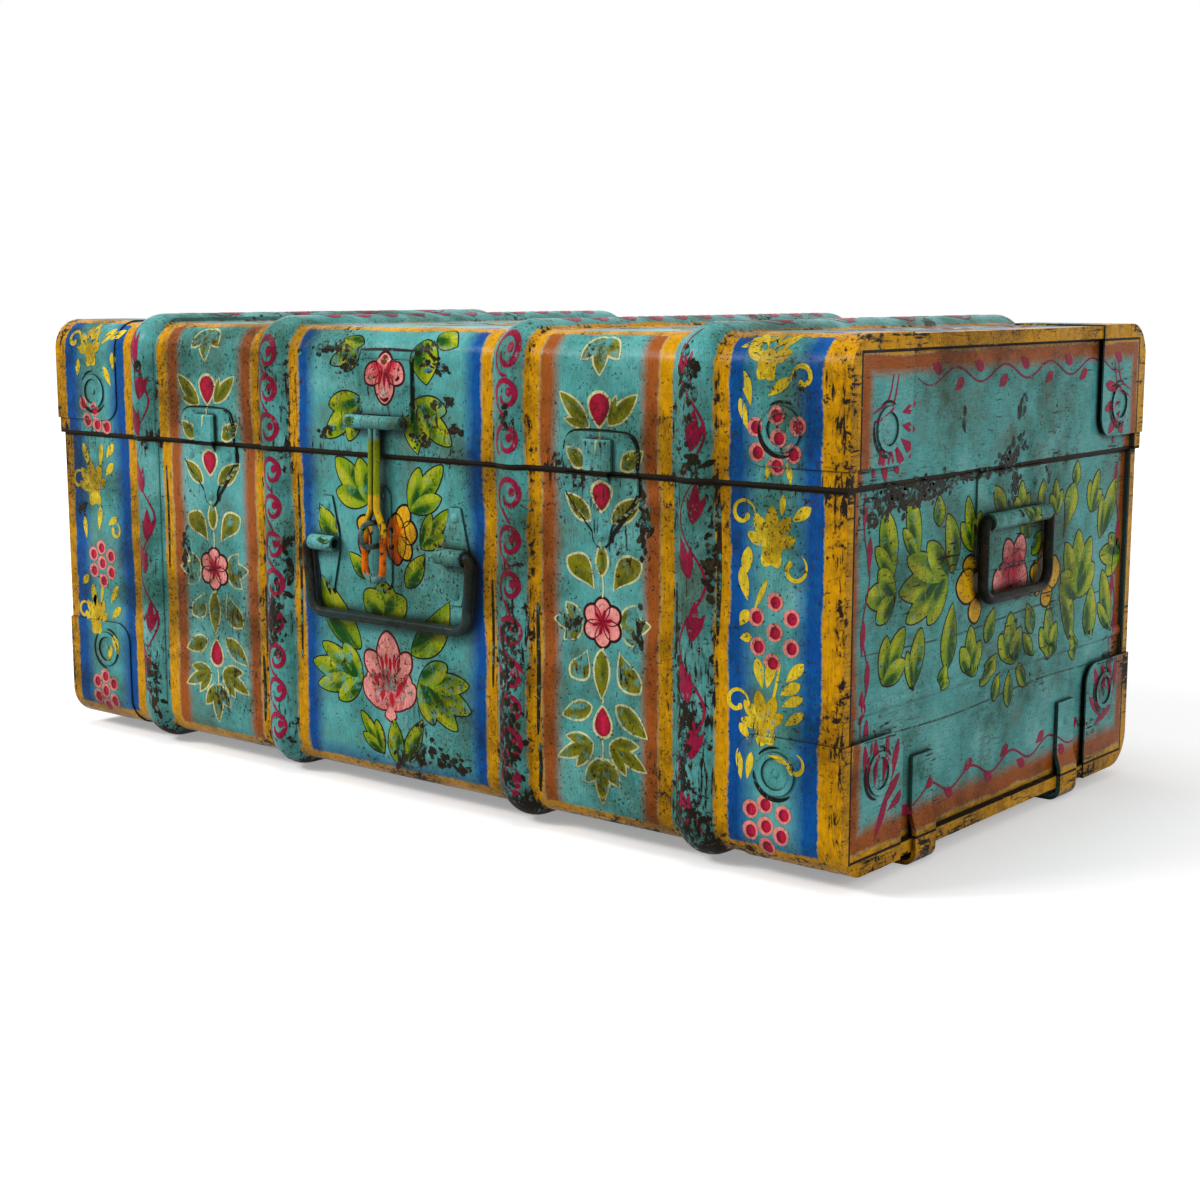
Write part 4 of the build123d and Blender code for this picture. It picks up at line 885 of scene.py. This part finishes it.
LEFT_CORNER_BODY = (
    ((-226, 132, 25, -6), (-228, 60, 22, 0)),
    ((-239, 138, 6, 90, -340), (-239, 66, 5.5, 90, -340), (-209, 112, 4.5, 20, 280)),
    ((-232, 152, 13, 4.6, -20), (-219, 152, 14, 3.6, 10), (-211, 155, 10, 4.6, 40), (-212, 145, 10, 4.6, 45),
     (-222, 118, 14, 4, 10), (-235, 112, 12, 3.6, -5), (-211, 117, 9, 4, 60), (-237, 83, 8, 4.6, 50),
     (-230, 75, 13, 4.6, -8), (-223, 76, 15, 2.4, 12), (-212, 77, 12, 4.4, 35), (-211, 67, 11, 4.2, 50),
     (-211, 50, 12, 3.8, -15), (-217, 44, 10, 3.4, 20)),
    ((-222, 102), (-229, 98), (-214, 98), (-221.6, 93.5), (-229, 89), (-214, 89), (-221, 84),
     (-222, 31), (-229, 27.5), (-215, 27.5), (-222, 23), (-229, 19), (-215, 18), (-222, 14.5)),
)


def corner_spray(face, table, flip=1):
    """Lilies, commas, dabs and berries down a corner panel."""
    lilies, commas, dabs, berries = table
    for x, z, size, lean in lilies:
        lily(face, flip * x, z, size, flip * lean)
    for x, z, radius, start, sweep in commas:
        comma(face, flip * x, z, radius, flip * start, flip * sweep)
    for x, z, length, width, angle in dabs:
        dab(face, flip * x, z, length, width, flip * angle)
    for x, z in berries:
        berry(face, flip * x, z)


for face in (FRONT_LID, BACK_LID):
    corner_spray(face, RIGHT_CORNER_LID)
    corner_spray(face, LEFT_CORNER_LID)
for face in (FRONT_BODY, BACK_BODY):
    corner_spray(face, RIGHT_CORNER_BODY)
    corner_spray(face, LEFT_CORNER_BODY)
    vine(face, ((220, 92), (217, 78), (214, 70)), 1.4, FLOWER_YELLOW)


def bud_vine(face, x, high, low, places, first=1):
    """A magenta vine that sways down a rib, with buds at the given heights, each on the vine's other side."""
    vine(face, wave((x, high), (x, low), 6.5, (high - low) / 54), 1.0, CRIMSON)
    for k, z in enumerate(places):
        side = first if k % 2 else -first
        bud(face, x + 0.8 * side, z - 9, x + 4.2 * side - 2, z + 8, 5.4)


def scroll_chain(face, x, centres, radius=8.0):
    """Magenta curls one below the other. Each is a spiral that winds in from the left, over and round, by 415
    degrees, while its radius falls by 0.62 u^1.3, and it hangs from the last by a short line."""
    for k, z in enumerate(centres):
        size = radius * hand.uniform(0.9, 1.08)
        u = np.linspace(0, 1, 44)
        angle = np.radians(215 + 415 * u)
        fall = size * (1 - 0.62 * u**1.3)
        curl = ribbon(x + 0.9 * fall * np.sin(angle), z + fall * np.cos(angle), 2.6, 0.4)
        lay(face, 1, curl, CRIMSON, wear=0.3)
        lay(face, 1, turned(disc(1.7, 2.0), x + 1.8, z + 1.5), CRIMSON)
        if k + 1 < len(centres):
            low, lower = (x - 0.52 * size, z - 0.82 * size), (x - 0.3 * size, z - 1.05 * size)
            vine(face, (low, lower, (x + 1, centres[k + 1] + size)), 1.5, CRIMSON)


for face in (FRONT_LID, BACK_LID):
    scroll_chain(face, -INNER_RIB, (209, 192, 173))
    scroll_chain(face, INNER_RIB, (213, 195, 175))
    bud_vine(face, -OUTER_RIB, 224, 165, (212, 193, 174))
    bud_vine(face, OUTER_RIB, 224, 165, (210, 185))
for face in (FRONT_BODY, BACK_BODY):
    scroll_chain(face, -INNER_RIB, (152, 134, 115, 96, 77, 59, 42, 24))
    scroll_chain(face, INNER_RIB, (151, 130, 110, 89, 70, 54, 38, 21))
    bud_vine(face, -OUTER_RIB, 162, 16, (144, 119, 101, 70, 45))
    bud_vine(face, OUTER_RIB, 162, 16, (155, 132, 106, 80, 56, 28), -1)

# Green leaves of the centre panel, round the hasp and staple: kind, base, tip, width, wear
CENTRE_LID = (
    ("three", -17, 213, -37, 206, 12, 0.8), ("plain", 24, 218, 26, 198, 17, 0.35),
    ("three", -17, 190, -41, 171, 20, 0.4), ("three", 17, 189, 41, 171, 20, 0.5),
    ("plain", 15, 183, 20, 166, 10, 0.2), ("plain", -16, 216, -30, 218, 6, 0.3),
    ("plain", 30, 222, 44, 216, 10, 0.4),
)
CENTRE_BODY = (
    ("three", -15, 141, -36, 161, 22, 0.3), ("three", 13, 139, 34, 161, 18, 0.3),
    ("plain", -36, 121, -48, 138, 11, 0.3), ("three", 20, 122, 38, 141, 13, 0.3),
    ("plain", 10, 103, 22, 119, 10, 0.3), ("plain", -15, 105, -28, 116, 8, 0.2),
    ("three", -5, 87, -4, 104, 26, 0.35), ("hooked", -22, 70, -48, 104, 16, 0.35),
    ("curved", 13, 71, 37, 98, 15, 0.3), ("five", -21, 55, -55, 60, 27, 0.5),
    ("five", 17, 58, 50, 48, 29, 0.55), ("three", -7, 21, -22, 39, 11, 0.3),
    ("plain", 2, 17, 0, 38, 10, 0.35), ("plain", 8, 20, 19, 40, 9, 0.35),
)
for faces, table in (((FRONT_LID, BACK_LID), CENTRE_LID), ((FRONT_BODY, BACK_BODY), CENTRE_BODY)):
    for face in faces:
        for row in table:
            green_leaf(face, *row)

# On the hasp plate, a pink flower. Petals: base, tip, width, and the share that the root's colour takes
for *row, share in ((0, 202, 0, 212, 9, 1.0), (-2, 206, -12, 198, 10, 1.5), (2, 206, 12, 199, 11, 1.5),
                    (0, 204, 0, 188, 12, 0.9)):
    petal(FRONT_LID, "full", *row, ROSE, PINK, share, WINE)
for x in (-3, 0, 3):
    dab(FRONT_LID, x, 199, 8, 1.8, -4 * x, CHERRY_PALE, 2)
lay(FRONT_LID, 2, turned(disc(2.0, 2.2), 0, 208.5), SEPIA, wear=0.2)

# Behind the staple, a yellow flower with orange petals in front
for row in ((6, 131, 11, 141, 9), (7, 129, 17, 128, 11), (6, 126, 12, 116, 9), (-12, 128, -22, 132, 9)):
    petal(FRONT_BODY, "full", *row, ORANGE, AMBER, 0.5)
for row in ((4, 113, 4, 137, 12), (-18, 115, -17, 130, 8)):
    petal(FRONT_BODY, "full", *row, BURNT_ORANGE, ORANGE, 0.8)

# Below the bail, a pink peony: petals at its crown, then a bowl of petals that run together, and red strokes
PEONY_CROWN = ((-2, 57, -4, 80, 15), (-8, 58, -18, 69, 11), (3, 59, 11, 71, 10))
PEONY_BOWL = (
    ("full", -3, 43, -15, 61, 19), ("full", -2, 43, 9, 62, 18), ("full", -10, 45, -19, 56, 10),
    ("full", 4, 45, 14, 56, 10), ("drop", -2, 46, -2, 37, 7),
)
PEONY_STROKES = (
    (-12, 57, 9, 3, -30), (-7, 50, 10, 3, 10), (-1, 47, 8, 3, -10), (4, 53, 10, 3, 30), (8, 58, 7, 2.4, 20),
    (-3, 57, 9, 2.6, -5),
)
for face in (FRONT_BODY, BACK_BODY):
    for row in PEONY_CROWN:
        petal(face, "full", *row, ROSE, PINK, 0.6, MAROON)
    for row in PEONY_BOWL:
        petal(face, *row, ROSE, PINK, 0.6, MAROON, lined=False)
    bowl = turned(form(18, 25, lobes=5, depth=0.2, belly=0.5, point=0.5), -3, 53)
    lay(face, 1, bowl, PINK, (ROSE, 0.2 + 0.9 * hand.standard_normal(bowl[0].shape)), wear=0.6)
    for row in PEONY_STROKES:
        dab(face, *row, ROSE, 2, 0.5)
    for k in range(5):
        dab(face, -7 + 2.6 * k, 64 + 2 * (k % 2), 8, 2.0, 4 * k - 8, ROSE, 2)

# Painted shade with dirt in a broken ring round each raised ring on the corner caps: faces, how far from
# the middle, height
RING_RADIUS = 10.9
for faces, across, z in (
    ((FRONT_LID, BACK_LID), 220.5, 186.5), ((FRONT_BODY, BACK_BODY), 219, 46.5),
    ((RIGHT_LID, LEFT_LID), 107.5, 186.5), ((RIGHT_BODY, LEFT_BODY), 106, 46.5),
):
    for face in faces:
        for x in (-across, across):
            first = hand.uniform(110, 200)
            for start, sweep, width in ((first, 130, 1.9), (first + 170, 60, 1.1)):
                turn = np.radians(start + np.linspace(0, sweep, 30))
                ring = x + RING_RADIUS * np.sin(turn), z + RING_RADIUS * np.cos(turn)
                lay(face, 2, ribbon(*ring, width, 0.5), INK_AND_SHADOW, wear=0.4)

# Dark worn places: across, height, length, width, turn
LID_SCUFFS = (
    (-42, 213, 24, 6, 85), (33, 206, 22, 8, 100), (36, 190, 16, 6, 80), (-24, 205, 18, 5, 70),
    (22, 172, 14, 6, 95), (45, 178, 13, 5, 95), (-38, 174, 12, 5, 90), (26, 214, 12, 6, 110),
    (INNER_RIB, 184, 10, 8, 20), (OUTER_RIB - 1, 203, 30, 9, 0), (OUTER_RIB, 172, 13, 15, 60),
    (-OUTER_RIB, 200, 12, 6, 10),
)
BODY_SCUFFS = (
    (32, 24, 34, 8, 102), (4, 20, 12, 8, 10), (18, 22, 9, 6, 0), (INNER_RIB - 2, 80, 34, 12, 4),
    (INNER_RIB - 1, 52, 40, 12, -4), (INNER_RIB, 24, 16, 12, 0), (OUTER_RIB - 4, 42, 36, 7, 8),
    (OUTER_RIB - 2, 22, 16, 15, 0), (OUTER_RIB - 7, 84, 34, 3, 0), (OUTER_RIB + 8, 132, 50, 3, 0),
    (-OUTER_RIB, 36, 44, 9, -12), (-INNER_RIB, 78, 34, 12, 0), (-INNER_RIB + 8, 108, 30, 4, 0),
    (-238, 122, 8, 9, 80), (-151, 104, 32, 6, 0), (150, 140, 30, 7, 4), (148, 96, 22, 6, 0),
)
worn_places(FRONT_LID, LID_SCUFFS)
worn_places(FRONT_BODY, BODY_SCUFFS)
# Long scrapes beside the ribs: across, from, to, width
for x, high, low, width in (
    (91, 104, 44, 2.2), (92, 40, 18, 2.0), (-63, 152, 60, 1.6), (64, 112, 62, 1.4), (-89, 92, 60, 1.6),
    (-92, 58, 24, 2.0), (168, 120, 90, 2.0), (189, 158, 100, 2.2), (-164, 150, 96, 1.5),
):
    vine(FRONT_BODY, ((x, high), (x + 0.6, (high + low) / 2), (x, low)), width, GRIME_AND_SHADE, 2, 0.5)


# ---------------------------------------------------------------- the ends

# Round the handle: kind, base, tip, width
END_LEAVES = (
    ("mitten", -93, 126, -102, 153, 18), ("mitten", -73, 131, -82, 158, 15), ("plain", -56, 143, -57, 156, 9),
    ("bent", -44, 122, -49, 147, 12), ("three", -26, 129, -32, 153, 15), ("plain", 1, 144, -11, 156, 9),
    ("three", 17, 139, 16, 156, 14), ("plain", 37, 142, 37, 155, 9), ("three", 54, 138, 52, 154, 12),
    ("drop", 61, 125, 72, 151, 13), ("plain", 73, 150, 74, 161, 8), ("three", 90, 136, 98, 155, 14),
    ("mitten", 101, 122, 117, 150, 16), ("plain", 18, 132, 24, 140, 14), ("plain", 28, 122, 38, 132, 8),
    ("three", -91, 118, -114, 119, 20), ("five", -48, 120, -88, 118, 33), ("five", 79, 96, 78, 128, 34),
    ("three", 125, 111, 102, 114, 18), ("three", -100, 82, -83, 103, 19), ("mitten", -76, 76, -70, 101, 15),
    ("plain", -47, 80, -43, 108, 13), ("plain", -52, 72, -47, 82, 8), ("three", -25, 74, -26, 96, 17),
    ("plain", -12, 87, -5, 101, 9), ("three", 12, 74, 11, 97, 20), ("plain", 33, 85, 27, 99, 9),
    ("three", 50, 70, 49, 96, 16), ("bent", 73, 77, 60, 104, 12), ("plain", 77, 66, 73, 82, 8),
    ("plain", 93, 74, 94, 100, 14), ("mitten", 116, 75, 105, 105, 15), ("plain", -16, 68, -1, 80, 8),
    ("plain", -3, 59, 1, 71, 7), ("plain", 11, 54, 11, 70, 8), ("plain", 27, 61, 18, 73, 7),
    ("plain", 33, 75, 24, 86, 7),
)
END_PETALS = (
    (-29, 118, -27, 127, 13), (-20, 113, -40, 115, 15), (-24, 108, -22, 97, 11), (39, 111, 29, 114, 9),
    (45, 111, 59, 111, 15), (44, 105, 48, 96, 11), (36, 102, 40, 126, 11),
)
END_FLOWER = ((8, 117, 3, 131, 11), (13, 117, 18, 132, 12), (10, 113, -7, 112, 17), (10, 113, 26, 110, 17))
# Fans of dabs round the rings on the corner caps: across, height, turn
CAP_FANS = (
    (-89, 194, 80), (-89, 186, 100), (-91, 178, 122), (-98, 174, 146), (-105, 173, 172), (-112, 175, 190),
    (99, 195, -80), (99, 186, -100), (102, 178, -130), (110, 175, -165),
)
FOOT_FANS = (
    (-116, 50, -8), (-109, 51, 0), (-101, 51, 10), (-94, 49, 20), (-97, 37, 50), (-90, 33, 65),
    (-104, 27, 30), (99, 50, -24), (105, 53, -10), (112, 54, 0), (118, 52, 8), (98, 39, -50), (106, 34, 70),
)
# Worn places: across, height, length, width, turn
END_BODY_SCUFFS = (
    (-86, 159, 44, 6, 87), (-86, 157, 52, 8, 88), (-82, 157.5, 60, 9, 87), (-102, 155, 26, 13, 70),
    (-50, 160.5, 60, 4, 88), (-14, 162, 60, 2.6, 90), (8, 153, 22, 7, 20), (44, 156, 10, 6, 0),
    (112, 60, 10, 5, 80),
)
END_LID_SCUFFS = ((14, 190, 12, 8, 20), (-40, 188, 16, 2, 0), (8, 170, 20, 12, 60), (-2, 168, 14, 8, 80))


def vine_buds(face, places, even_z, odd_z):
    """Dabs on either side of a vine along the border, every other one below it."""
    for k, x in enumerate(places):
        dab(face, x, odd_z if k % 2 else even_z, 9, 5, 60 if k % 2 else 115, CRIMSON)


def end_painting(body, lid):
    """Leaves round the handle, petals beside it, a vine inside the border and brush fans on the corners."""
    for row in END_LEAVES:
        green_leaf(body, *row)
    for row in END_PETALS:
        petal(body, "full", *row, ORANGE, SAFFRON, 0.6)
    for row in END_FLOWER:
        petal(body, "full", *row, CARMINE, PINK, 1.6, WINE)
    lay(body, 2, turned(disc(2.6, 5.0), 10, 114), INK_AND_SHADOW, wear=0.0)
    lay(body, 2, turned(disc(1.9, 4.2), 10, 114), ROSE, wear=0.0)
    vine(lid, wave((-80, 205.5), (110, 205.5), 3.4, 4.4), 1.0, wear=0.35)
    vine_buds(lid, (-64, -45, -28, -6, 14, 38, 57, 73, 104), 209, 201.5)
    vine(body, wave((-88, 29.5), (82, 29.5), 3.2, 4.5), 1.1, wear=0.3)
    vine_buds(body, (-80, -62, -42, -25, -6, 9, 26, 45, 63, 80), 25, 33.5)
    for edge, places in ((-114, (154, 136, 103, 86, 74, 62)), (119, (150, 122, 96, 76))):
        vine(body, wave((edge, 158), (edge, 60), 2.4, 2.4), 0.9, wear=0.35)
        for k, z in enumerate(places):
            dab(body, edge + (2 if k % 2 else -2), z, 15, 4, 4, CRIMSON)
    for x, z, angle in CAP_FANS:
        dab(lid, x, z, 16, 5.2, angle, CRIMSON, wear=0.1)
    for x, z, angle in FOOT_FANS:
        dab(body, x, z, 20, 4.6, angle, CRIMSON, wear=0.1)
    for side in (-1, 1):
        vine(lid, ((side * 104, 208), (side * 108, 198), (side * 119, 193)), 1.2, CRIMSON)
        vine(lid, ((side * 100, 208), (side * 105, 195), (side * 119, 189)), 1.2, CRIMSON)
    worn_places(body, END_BODY_SCUFFS, 0.8)
    worn_places(lid, END_LID_SCUFFS, 0.6)
    # Two dark lines right across: painted shade where the sheet has creased
    for z in (61, 96):
        vine(body, ((-118, z), (-40, z - 2), (40, z + 1), (118, z - 1)), 0.9, CREASE_SHADE_GREEN, 0, 0.6)


end_painting(RIGHT_BODY, RIGHT_LID)
end_painting(LEFT_BODY, LEFT_LID)


# ---------------------------------------------------------------- the lid's top

# Height along the sheet at which the top is flat, and how deep the flat is
TOP_START = 232.06
TOP_DEPTH = 2 * LID_HALF_DEPTH - 2 * EDGE_RADIUS
TOP_SPRIG = SPRIG_BODY[3:13]
CLUSTER = ((-8, 0), (8, 0), (0, 0), (-5, 8), (5, 8), (-5, -8), (5, -8))
TOP_LEAVES = (
    (-26, 40), (24, 52), (0, 22), (-30, 92), (28, 102), (-24, 148), (26, 158), (0, 196), (-32, 208),
    (30, 212),
)
for x in (-INNER_RIB, INNER_RIB):
    scroll_chain(FRONT_LID, x, [TOP_START + TOP_DEPTH - 17 - 20 * k for k in range(11)])
for x in (-OUTER_RIB, OUTER_RIB):
    bud_vine(FRONT_LID, x, TOP_START + TOP_DEPTH, TOP_START, [TOP_START + 20 + 25 * k for k in range(9)])
for side in (-1, 1):
    for k in (0, 1):
        rise = TOP_START + 70 + 110 * k
        sprig(FRONT_LID, side * SPRIG_PANEL, TOP_SPRIG, rise - BLOOM_Z)
        bloom(FRONT_LID, side * SPRIG_PANEL, rise, 9.6)
    for k in range(4):
        rise = TOP_START + 30 + 58 * k
        lily(FRONT_LID, side * CORNER_PANEL, rise, 23)
        comma(FRONT_LID, side * (CORNER_PANEL + 12), rise + 12, 5.5, side * 250, side * 330)
        for dx, dz in CLUSTER if k < 3 else ():
            berry(FRONT_LID, side * CORNER_PANEL + dx, rise + 29 + dz, 3.4)
for k, (x, inward) in enumerate(TOP_LEAVES):
    turn = tau * hand.random()
    z = TOP_START + inward
    tip_x, tip_z = x + 24 * np.sin(turn), z + 24 * np.cos(turn)
    green_leaf(FRONT_LID, ("three", "five", "plain")[k % 3], x, z, tip_x, tip_z, 18)
bloom(FRONT_LID, 0, TOP_START + 75, 15)
bloom(FRONT_LID, 0, TOP_START + 165, 15, start=20)
for k in range(26):
    x, z = hand.uniform(-230, 230), TOP_START + hand.uniform(10, 230)
    scuff(FRONT_LID, x, z, hand.uniform(8, 26), hand.uniform(4, 9), hand.uniform(0, 180))

# Painted shadows, with dirt, round the dowel plates, thicker on their right-hand sides, from each plate's
# middle, and then round the hasp's plate: face, width, points
PLATE_SHADOWS = (
    (FRONT_LID, 1.6, ((20.4, 166), (20.6, 173), (18.5, 179), (13, 181.6))),
    (FRONT_LID, 0.7, ((13, 181.6), (0, 182), (-13, 181.6), (-18.5, 179), (-20.6, 173))),
    (FRONT_BODY, 2.0, ((20.4, 162), (20, 155), (13, 146), (6, 138), (4.8, 134))),
    (FRONT_BODY, 0.8, ((4.8, 134), (0, 131), (-4.8, 134), (-6, 138), (-13, 146), (-20, 155))),
)
for middle in (-SPRIG_PANEL, SPRIG_PANEL):
    for face, width, points in PLATE_SHADOWS:
        shadow_and_grime_line(face, [(middle + x, z) for x, z in points], width)
shadow_and_grime_line(FRONT_LID, ((17.4, 181), (17.4, 195), (17.2, 212)), 1.6)
shadow_and_grime_line(FRONT_LID, ((-17.2, 213), (0, 213.4), (17, 213)), 1.0)


# ---------------------------------------------------------------- making the marks into pieces


def surface(name, points, faces, paint=None):
    """A mesh object from point and face arrays, in metres, with its paint and wear as a colour at each
    point."""
    mesh = bpy.data.meshes.new(name)
    mesh.vertices.add(len(points))
    mesh.vertices.foreach_set("co", np.asarray(points, np.float32).ravel())
    size = faces.shape[1]
    mesh.loops.add(faces.size)
    mesh.loops.foreach_set("vertex_index", faces.astype(np.int32).ravel())
    mesh.polygons.add(len(faces))
    mesh.polygons.foreach_set("loop_start", np.arange(0, faces.size, size, dtype=np.int32))
    mesh.update(calc_edges=True)
    if paint is not None:
        colours = mesh.color_attributes.new("paint", "FLOAT_COLOR", "POINT")
        colours.data.foreach_set("color", paint.astype(np.float32).ravel())
    made = bpy.data.objects.new(name, mesh)
    bpy.context.scene.collection.objects.link(made)
    return made


# No flowers are painted on the wires, so none are pressed on to them
WIRE = ("hasp", "front_bail", "side_bail_left", "side_bail_right", "staple")


def carrier(body):
    """The solids of one body, without the wires, as one loose mesh for the paint to be pressed on to."""
    coords, faces, start = [], [], 0
    for name in frame["record"]["behaviour"]["bodies"][body]:
        if name in WIRE:
            continue
        mesh = frame["nodes"][name].data
        mesh.calc_loop_triangles()
        points = np.empty(3 * len(mesh.vertices))
        mesh.vertices.foreach_get("co", points)
        corners = np.empty(3 * len(mesh.loop_triangles), dtype=np.int64)
        mesh.loop_triangles.foreach_get("vertices", corners)
        coords.append(points.reshape(-1, 3))
        faces.append(corners.reshape(-1, 3) + start)
        start += len(mesh.vertices)
    return surface(f"{body}_carrier", np.vstack(coords), np.vstack(faces))


# How far a mark looks for the sheet, and how deep a step in the surface it still runs over
PRESS_REACH = 14 * MM
STEP = 2.4 * MM


def pressed(raised, base, offset):
    """Where the raised marks land, in metres, when each point is pressed on to the base along its own
    normal."""
    press = raised.modifiers.new("press", "SHRINKWRAP")
    press.target = base
    press.wrap_method = "PROJECT"
    press.use_negative_direction = True
    press.use_positive_direction = False
    press.project_limit = PRESS_REACH
    press.offset = offset
    bpy.context.view_layer.update()
    found = raised.evaluated_get(bpy.context.evaluated_depsgraph_get())
    places = np.empty(3 * len(raised.data.vertices), np.float32)
    found.data.vertices.foreach_get("co", places)
    return places.reshape(-1, 3)


LAYER_NAMES = ("paint_outlines", "paint_fills", "paint_touches")
carriers = {body: carrier(body) for body in ("trunk", "lid")}
for (side, body, layer), pieces in sorted(marks.items()):
    starts = np.cumsum([0] + [len(piece[0]) for piece in pieces])
    far = np.vstack([piece[0] for piece in pieces]) * MM
    near = np.vstack([piece[1] for piece in pieces]) * MM
    quads = np.vstack([piece[2] + start for piece, start in zip(pieces, starts)])
    paint = np.vstack([piece[3] for piece in pieces])
    lift = np.hstack([piece[4] for piece in pieces])[:, None] * MM
    offset = (LAYER_FIRST + LAYER_GAP * layer) * MM
    raised = surface("raised", far, quads)
    landed = pressed(raised, carriers[body], offset)
    bpy.data.objects.remove(raised, do_unlink=True)
    missed = np.linalg.norm(landed - far, axis=1) < 1e-6
    landed[missed] = near[missed]
    outward = (far - near) / np.linalg.norm(far - near, axis=1)[:, None]
    landed = landed + outward * lift
    # A mark stops where the surface under it drops away or stands up, as at a barrel or a plate's edge
    depth = np.sum((far - landed) * outward, axis=1)[quads]
    quads = quads[depth.max(1) - depth.min(1) < STEP]
    used, quads = np.unique(quads, return_inverse=True)
    made = surface(f"{body}_{side}_{LAYER_NAMES[layer]}", landed[used], quads.reshape(-1, 4), paint[used])
    made.data.shade_smooth()
    made.data.materials.append(MARKS)
    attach(made, body)
for made in carriers.values():
    bpy.data.objects.remove(made, do_unlink=True)


# ---------------------------------------------------------------- camera, floor and light

# The lens's length is given in pixels of a square frame
SENSOR, FOCAL_PIXELS, FRAME_PIXELS = 36.0, 1940.19, 1200.0
CAMERA_PLACE = (0.64625, -0.770645, 0.24232)
camera_data = bpy.data.cameras.new("camera")
camera_data.sensor_width = SENSOR
camera_data.lens = FOCAL_PIXELS * SENSOR / FRAME_PIXELS
camera_data.clip_start, camera_data.clip_end = 0.01, 60.0
camera = bpy.data.objects.new("camera", camera_data)
bpy.context.scene.collection.objects.link(camera)
yaw, pitch = -0.68094, 0.16060
look = Vector((np.sin(yaw) * np.cos(pitch), np.cos(yaw) * np.cos(pitch), -np.sin(pitch)))
right = Vector((np.cos(yaw), -np.sin(yaw), 0.0))
upward = right.cross(look)
turn = Matrix((right, upward, -look)).transposed().to_4x4()
camera.matrix_world = Matrix.Translation(Vector(CAMERA_PLACE)) @ turn
bpy.context.scene.camera = camera


def soft_lamp(name, place, aim, size, power):
    """A large square lamp at place that faces aim."""
    data = bpy.data.lights.new(name, "AREA")
    data.shape, data.size, data.energy = "SQUARE", size, power
    lamp = bpy.data.objects.new(name, data)
    lamp.location = place
    lamp.rotation_euler = (Vector(aim) - Vector(place)).to_track_quat("-Z", "Y").to_euler()
    bpy.context.scene.collection.objects.link(lamp)


# Place, aim, size in metres and power in watts
soft_lamp("key_lamp", (-1.3, -1.9, 1.9), (0.0, 0.0, 0.1), 1.0, 36.0)
soft_lamp("side_lamp", (2.4, -0.6, 1.2), (0.1, 0.0, 0.1), 1.0, 17.0)
soft_lamp("top_lamp", (-0.2, -0.1, 2.3), (0.0, 0.0, 0.2), 1.0, 16.0)
soft_lamp("glint_lamp", (-1.1, -1.3, 1.2), (0.0, 0.0, 0.15), 0.3, 10.0)

# The sky is white to the camera and in reflections, and half as bright where it lights the trunk
world = bpy.data.worlds.new("studio")
world.use_nodes = True
bpy.context.scene.world = world
sky = world.node_tree
sky.nodes.clear()
seen = add(sky, "ShaderNodeLightPath")
plain = add(sky, MATH, {0: seen.outputs["Is Camera Ray"], 1: seen.outputs["Is Transmission Ray"]}, out=0,
            operation="MAXIMUM")
straight = add(sky, MATH, {0: plain, 1: seen.outputs["Is Glossy Ray"]}, out=0, operation="MAXIMUM")
strength = add(sky, RANGE, {0: straight, 1: 0.0, 2: 1.0, 3: 0.5, 4: 1.0}, out=0)
backdrop = add(sky, "ShaderNodeBackground", {"Color": (1, 1, 1, 1), "Strength": strength})
add(sky, "ShaderNodeOutputWorld", {"Surface": backdrop.outputs[0]})

FLOOR_HALF = 8.0
corners = FLOOR_HALF * np.array([[-1, -1, 0], [1, -1, 0], [1, 1, 0], [-1, 1, 0]], float)
floor = surface("studio_floor", corners, np.array([[0, 1, 2, 3]]))
floor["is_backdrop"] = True
# Matt white paper. It keeps the shadow near the trunk, and glows for the camera further off, so that it runs
# into the white behind it. It is greyer where it lights the trunk
paper = blank("white_paper")
tree = paper.node_tree
ray = add(tree, "ShaderNodeLightPath")
direct = add(tree, MATH, {0: ray.outputs["Is Camera Ray"], 1: ray.outputs["Is Glossy Ray"]}, out=0,
             operation="MAXIMUM")
place = add(tree, "ShaderNodeTexCoord", out="Object")
away = add(tree, VECTOR, {0: place}, out="Value", operation="LENGTH")
boost = add(tree, RANGE, {0: away, 1: 0.45, 2: 1.8, 3: 0.3, 4: 0.75}, out=0)
lift = add(tree, MATH, {0: direct, 1: boost}, out=0, operation="MULTIPLY")
pale = add(tree, RANGE, {0: ray.outputs["Is Diffuse Ray"], 1: 0.0, 2: 1.0, 3: 0.8, 4: 0.45}, out=0)
matt = add(tree, "ShaderNodeBsdfDiffuse", {"Color": pale})
glow = add(tree, "ShaderNodeEmission", {"Color": (1, 1, 1, 1), "Strength": lift})
both = add(tree, "ShaderNodeAddShader", {0: matt.outputs[0], 1: glow.outputs[0]})
add(tree, "ShaderNodeOutputMaterial", {"Surface": both.outputs[0]})
floor.data.materials.append(paper)

bpy.context.scene.view_settings.view_transform = "Standard"

low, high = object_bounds()
